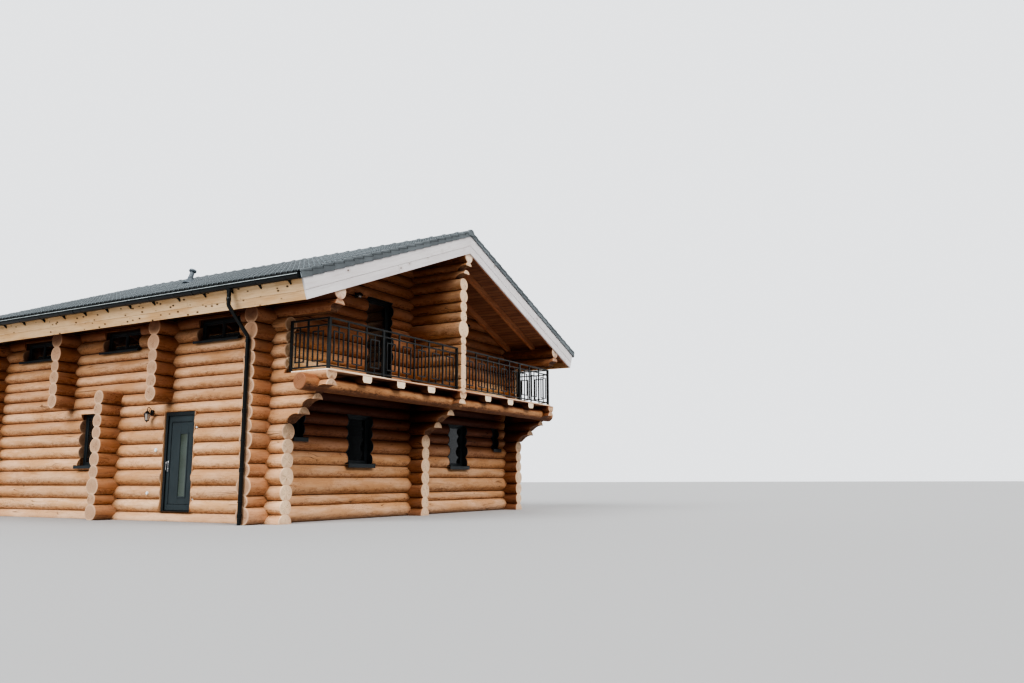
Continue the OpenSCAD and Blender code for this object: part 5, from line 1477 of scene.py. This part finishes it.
def leaf(g, sx, hinge=True):
    """A leaf of metal profile with a set-back panel and a glazed strip."""
    P_ = put_x(sx)
    gy0, gy1, gz0, gz1 = -2.358, -2.130, 0.52, 1.87
    # rails and stiles
    P_(g, 0.015, 0.075, LY0, LY0 + 0.085, LZ0, LZ1, 0.005)
    P_(g, 0.015, 0.075, LY1 - 0.085, LY1, LZ0, LZ1, 0.005)
    P_(g, 0.015, 0.075, LY0 + 0.085, LY1 - 0.085, LZ1 - 0.145, LZ1, 0.005)
    P_(g, 0.015, 0.075, LY0 + 0.085, LY1 - 0.085, LZ0, LZ0 + 0.115, 0.005)
    # beading beside the panel
    a0, a1, b0, b1 = LY0 + 0.085, LY1 - 0.085, LZ0 + 0.115, LZ1 - 0.145
    ring(g, P_, 0.055, 0.071, a0, a1, b0, b1, 0.012, 0.003)
    # panel around the glass
    pa0, pa1, pb0, pb1 = a0 + 0.018, a1 - 0.018, b0 + 0.018, b1 - 0.018
    P_(g, 0.022, 0.062, pa0, gy0, pb0, pb1, 0.003)
    P_(g, 0.022, 0.062, gy1, pa1, pb0, pb1, 0.003)
    P_(g, 0.022, 0.062, gy0, gy1, gz1, pb1, 0.003)
    P_(g, 0.022, 0.062, gy0, gy1, pb0, gz0, 0.003)
    P_(g, 0.024, 0.046, a0, pa0 + 0.002, b0, b1, 0.001)
    P_(g, 0.024, 0.046, pa1 - 0.002, a1, b0, b1, 0.001)
    P_(g, 0.024, 0.046, pa0, pa1, b0, pb0 + 0.002, 0.001)
    P_(g, 0.024, 0.046, pa0, pa1, pb1 - 0.002, b1, 0.001)
    # raised frame of the glazed strip
    ring(g, P_, 0.058, 0.073, gy0 - 0.026, gy1 + 0.026, gz0 - 0.026, gz1 + 0.026, 0.030, 0.004)
    return gy0, gy1, gz0, gz1


g = Geo()
leaf(g, -1)
for z in (0.48, 1.25, 2.04):
    lathe(g, [(0.0, 0.0), (0.010, 0.001), (0.010, 0.044), (0.0, 0.045)], Matrix.Translation((-4.775, -2.59, z)), 14)
    cbox(g, (-4.790, -2.585, z + 0.005), (-4.781, -2.552, z + 0.040), 0.002)
g.obj("entry_door_leaf", DOOR, body="entry_door", replaces=("entry_leaf_w",), slot="door_paint", smooth=30)
CAD["entry_glass_w"].data.materials.clear()
CAD["entry_glass_w"].data.materials.append(OBSCURE)

g = Geo()
yc = LY1 - 0.055
xo = -HX - 0.075
cbox(g, (xo - 0.009, yc - 0.019, 1.052), (xo, yc + 0.019, 1.288), 0.004)
path = bend([(xo - 0.004, yc, 1.262), (xo - 0.056, yc, 1.262), (xo - 0.060, yc, 1.150), (xo - 0.050, yc, 1.085), (xo - 0.004, yc, 1.085)], 0.028, 6)
tube(g, path, 0.0095, 12)
lathe(g, [(0.012, 0.0), (0.012, 0.004), (0.009, 0.006)], Matrix.Translation((xo - 0.009, yc, 1.115)) @ Matrix.Rotation(-math.pi / 2, 4, "Y"), 14)
xi = -HX - 0.015
cbox(g, (xi, yc - 0.019, 1.052), (xi + 0.009, yc + 0.019, 1.288), 0.004)
path = bend([(xi + 0.004, yc, 1.205), (xi + 0.052, yc, 1.205), (xi + 0.052, yc - 0.125, 1.205)], 0.016, 5)
tube(g, path, 0.0095, 12)
g.obj("entry_door_handles", STEEL, body="entry_door", replaces=("entry_handle_w",), slot="handle_steel", smooth=40)

# east entry door, closed
gd, gh = Geo(), Geo()
P_ = put_x(1)
ring(gd, P_, 0.015, 0.112, y0, y1, z0 + 0.002, z1 - 0.002, 0.047, wb=0.018)
for a, b in ((y0 + 0.047, y0 + 0.066), (y1 - 0.066, y1 - 0.047)):
    P_(gd, 0.083, 0.110, a, b, z0 + 0.018, z1 - 0.05, 0.003)
P_(gd, 0.083, 0.110, y0 + 0.06, y1 - 0.06, z1 - 0.078, z1 - 0.045, 0.003)
q = leaf(gd, 1)
gd.obj("entry_door_east", DOOR, replaces=("entry_door_e",), slot="door_paint", smooth=30)
g = Geo()
P_(g, 0.030, 0.058, q[0], q[1], q[2], q[3], 0.002)
g.obj("entry_glass_east", OBSCURE, slot="obscure_glass", smooth=30)
xo = HX + 0.075
cbox(gh, (xo, yc - 0.019, 1.052), (xo + 0.009, yc + 0.019, 1.288), 0.004)
path = bend([(xo + 0.004, yc, 1.262), (xo + 0.056, yc, 1.262), (xo + 0.060, yc, 1.150), (xo + 0.050, yc, 1.085), (xo + 0.004, yc, 1.085)], 0.028, 6)
tube(gh, path, 0.0095, 12)
gh.obj("entry_handle_east", STEEL, slot="handle_steel", smooth=40)

# ---------------------------------------------------------------- lanterns and small fittings
gl, gg = Geo(), Geo()
for sx in (-1, 1):
    yl = -HY + 3.42
    xw = sx * (HX + 0.150)
    out = sx
    # back plate
    cbox(gl, (min(xw, xw + out * 0.045), yl - 0.040, 2.295), (max(xw, xw + out * 0.045), yl + 0.040, 2.415), 0.010)
    # scrolled arm over the lamp
    cx = xw + out * 0.150
    path = bend([(xw + out * 0.03, yl, 2.335), (xw + out * 0.06, yl, 2.430), (xw + out * 0.115, yl, 2.475), (cx, yl, 2.450), (cx, yl, 2.395)], 0.05, 6)
    tube(gl, path, 0.008, 10)
    path = bend([(xw + out * 0.03, yl, 2.33), (xw + out * 0.075, yl, 2.36), (xw + out * 0.11, yl, 2.425)], 0.04, 5)
    tube(gl, path, 0.006, 8)
    T = Matrix.Translation((cx, yl, 0))
    lathe(gl, [(0.0, 2.405), (0.012, 2.398), (0.016, 2.388), (0.030, 2.380), (0.052, 2.350), (0.078, 2.330), (0.080, 2.322), (0.0, 2.322)], T, 6)
    for k in range(6):
        a = math.pi / 3 * k
        c0 = (cx + 0.066 * math.cos(a), yl + 0.066 * math.sin(a), 2.322)
        c1 = (cx + 0.046 * math.cos(a), yl + 0.046 * math.sin(a), 2.180)
        tube(gl, [c0, c1], 0.0045, 6)
    lathe(gl, [(0.0, 2.130), (0.012, 2.138), (0.010, 2.150), (0.030, 2.160), (0.050, 2.176), (0.050, 2.184), (0.0, 2.184)], T, 6)
    lathe(gg, [(0.044, 2.182), (0.063, 2.324)], T, 6)
    # hooded lamp between the balcony doors
    for sy in (-1, 1):
        xl, zl, yw = sx * 2.35, 5.13, sy * (HY + 0.130)
        ys = sorted((yw, yw + sy * 0.035))
        cbox(gl, (xl - 0.040, ys[0], zl - 0.045), (xl + 0.040, ys[1], zl + 0.065), 0.008)
        yl2 = yw + sy * 0.125
        tube(gl, bend([(xl, yw + sy * 0.02, zl + 0.03), (xl, yw + sy * 0.07, zl + 0.062), (xl, yl2, zl + 0.055)], 0.03, 5), 0.009, 8)
        T3 = Matrix.Translation((xl, yl2, zl))
        lathe(gl, [(0.0, 0.066), (0.030, 0.062), (0.062, 0.040), (0.080, 0.002), (0.080, -0.006), (0.074, -0.006), (0.056, 0.030), (0.0, 0.040)], T3, 20)
        lathe(gg, [(0.0, -0.068), (0.030, -0.058), (0.044, -0.030), (0.040, 0.000), (0.020, 0.022)], T3, 16)
gl.obj("lantern_set", LAMP, replaces=("lanterns",), slot="lantern_metal", smooth=40)
gg.obj("lantern_glasses", LAMPG, slot="lantern_metal", smooth=40)

g = Geo()
for sx in (-1, 1):
    for y, z, R in ((-1.475, 1.53, 0.044), (-1.287, 0.594, 0.036), (-2.687, 1.995, 0.026), (-2.654, 0.465, 0.026)):
        zz = min(range(len(LONG_Z) - 1), key=lambda i: 0 if LONG_Z[i] <= z < LONG_Z[i + 1] else 1)
        c, r = cz_of(LONG_Z, zz), r_of(LONG_Z, zz)
        d = math.sqrt(max(r * r - (z - c) ** 2, 0.0001))
        T = Matrix.Translation((sx * (HX + d - 0.006), y, z)) @ Matrix.Rotation(sx * math.pi / 2, 4, "Y")
        lathe(g, [(R, 0.0), (R, 0.016), (R * 0.9, 0.024), (R * 0.55, 0.028), (R * 0.5, 0.024), (0.0, 0.024)], T, 20)
g.obj("wall_caps", WHITE, slot="vent_plastic", smooth=45)

CAD["ground_floor"].data.materials.clear()
CAD["ground_floor"].data.materials.append(SCREED)
CAD["upper_floor"].data.materials.clear()
CAD["upper_floor"].data.materials.append(BOARDS)

# ---------------------------------------------------------------- stage, light and camera
me = bpy.data.meshes.new("floor")
S_ = 400.0
me.from_pydata([(-S_, -S_, -0.001), (S_, -S_, -0.001), (S_, S_, -0.001), (-S_, S_, -0.001)], [], [(0, 1, 2, 3)])
floor = bpy.data.objects.new("floor", me)
scene.collection.objects.link(floor)
F_ = Mat("floor_pale")
F_.set(Base_Color=(0.38, 0.38, 0.38), Roughness=0.9)
F_.b.inputs["Specular IOR Level"].default_value = 0.1
me.materials.append(F_.m)

# a pale backdrop all round, seen directly but lighting nothing
V, F = [], []
NS, NR = 48, 10
for r in range(NR):
    el = math.radians(-1.0 + 91.0 * r / NR)
    V += [(390.0 * math.cos(el) * math.cos(2 * math.pi * q / NS), 390.0 * math.cos(el) * math.sin(2 * math.pi * q / NS), 390.0 * math.sin(el)) for q in range(NS)]
V.append((0.0, 0.0, 390.0))
for r in range(NR - 1):
    F += [(r * NS + q, r * NS + (q + 1) % NS, (r + 1) * NS + (q + 1) % NS, (r + 1) * NS + q)[::-1] for q in range(NS)]
F += [((NR - 1) * NS + q, (NR - 1) * NS + (q + 1) % NS, NR * NS)[::-1] for q in range(NS)]
me = bpy.data.meshes.new("backdrop")
me.from_pydata(V, [], F)
dome = bpy.data.objects.new("backdrop", me)
scene.collection.objects.link(dome)
B_ = Mat("backdrop_pale")
B_.set(Base_Color=(0.0, 0.0, 0.0), Roughness=1.0)
B_.b.inputs["Specular IOR Level"].default_value = 0.0
B_.b.inputs["Emission Color"].default_value = (0.94, 0.965, 1.0, 1.0)
B_.b.inputs["Emission Strength"].default_value = 1.0
me.materials.append(B_.m)
for k in ("diffuse", "glossy", "transmission", "volume_scatter", "shadow"):
    setattr(dome, "visible_" + k, False)

world = bpy.data.worlds.new("sky")
scene.world = world
world.use_nodes = True
wt = world.node_tree
bg = wt.nodes["Background"]
# a soft box of sky: bright overhead, dim at the horizon, bright on the far side
SKY, LOW, BACK = 0.30, 0.04, 1.0
tc = wt.nodes.new("ShaderNodeTexCoord")
sp = wt.nodes.new("ShaderNodeSeparateXYZ")
wt.links.new(tc.outputs["Generated"], sp.inputs[0])


def ramp(src, a, b, lo, hi):
    n = wt.nodes.new("ShaderNodeMapRange")
    n.interpolation_type = "SMOOTHSTEP"
    wt.links.new(src, n.inputs[0])
    for k, v in zip((1, 2, 3, 4), (a, b, lo, hi)):
        n.inputs[k].default_value = v
    return n.outputs[0]


dot = wt.nodes.new("ShaderNodeVectorMath")
dot.operation = "DOT_PRODUCT"
wt.links.new(tc.outputs["Generated"], dot.inputs[0])
dot.inputs[1].default_value = (0.871, 0.491, 0.0)
mx = wt.nodes.new("ShaderNodeMath")
mx.operation = "MAXIMUM"
wt.links.new(ramp(sp.outputs[2], 0.10, 0.75, LOW, SKY), mx.inputs[0])
wt.links.new(ramp(dot.outputs["Value"], 0.30, 0.72, 0.0, BACK), mx.inputs[1])
bg.inputs["Color"].default_value = (0.94, 0.965, 1.0, 1.0)
wt.links.new(mx.outputs[0], bg.inputs["Strength"])


def sun(name, direction, energy, angle, color):
    L = bpy.data.lights.new(name, "SUN")
    L.energy = energy
    L.angle = math.radians(angle)
    L.color = color
    ob = bpy.data.objects.new(name, L)
    ob.rotation_euler = Vector(direction).to_track_quat("-Z", "Y").to_euler()
    scene.collection.objects.link(ob)


sun("key", (0.80, -0.12, -0.58), 2.15, 42, (0.98, 1.0, 1.02))
sun("side", (0.06, 0.64, -0.77), 2.15, 42, (1.0, 0.98, 0.96))

cam_d = bpy.data.cameras.new("view")
cam_d.lens = 29.676
cam_d.sensor_width = 36.0
cam_d.sensor_fit = "HORIZONTAL"
cam_d.clip_end = 1500
cam = bpy.data.objects.new("view", cam_d)
yaw, pit, rol = math.radians(60.595), math.radians(9.344), math.radians(-0.147)
fwd = Vector((math.sin(yaw) * math.cos(pit), math.cos(yaw) * math.cos(pit), math.sin(pit)))
right = Vector((math.cos(yaw), -math.sin(yaw), 0.0))
upv = right.cross(fwd)
r2 = right * math.cos(rol) + upv * math.sin(rol)
u2 = upv * math.cos(rol) - right * math.sin(rol)
cam.matrix_world = Matrix(((r2.x, u2.x, -fwd.x, -17.4188), (r2.y, u2.y, -fwd.y, -17.5284), (r2.z, u2.z, -fwd.z, 0.8474), (0, 0, 0, 1)))
scene.collection.objects.link(cam)
scene.camera = cam
scene.view_settings.view_transform = "AgX"
scene.view_settings.look = "AgX - High Contrast"
scene.view_settings.exposure = 0.40
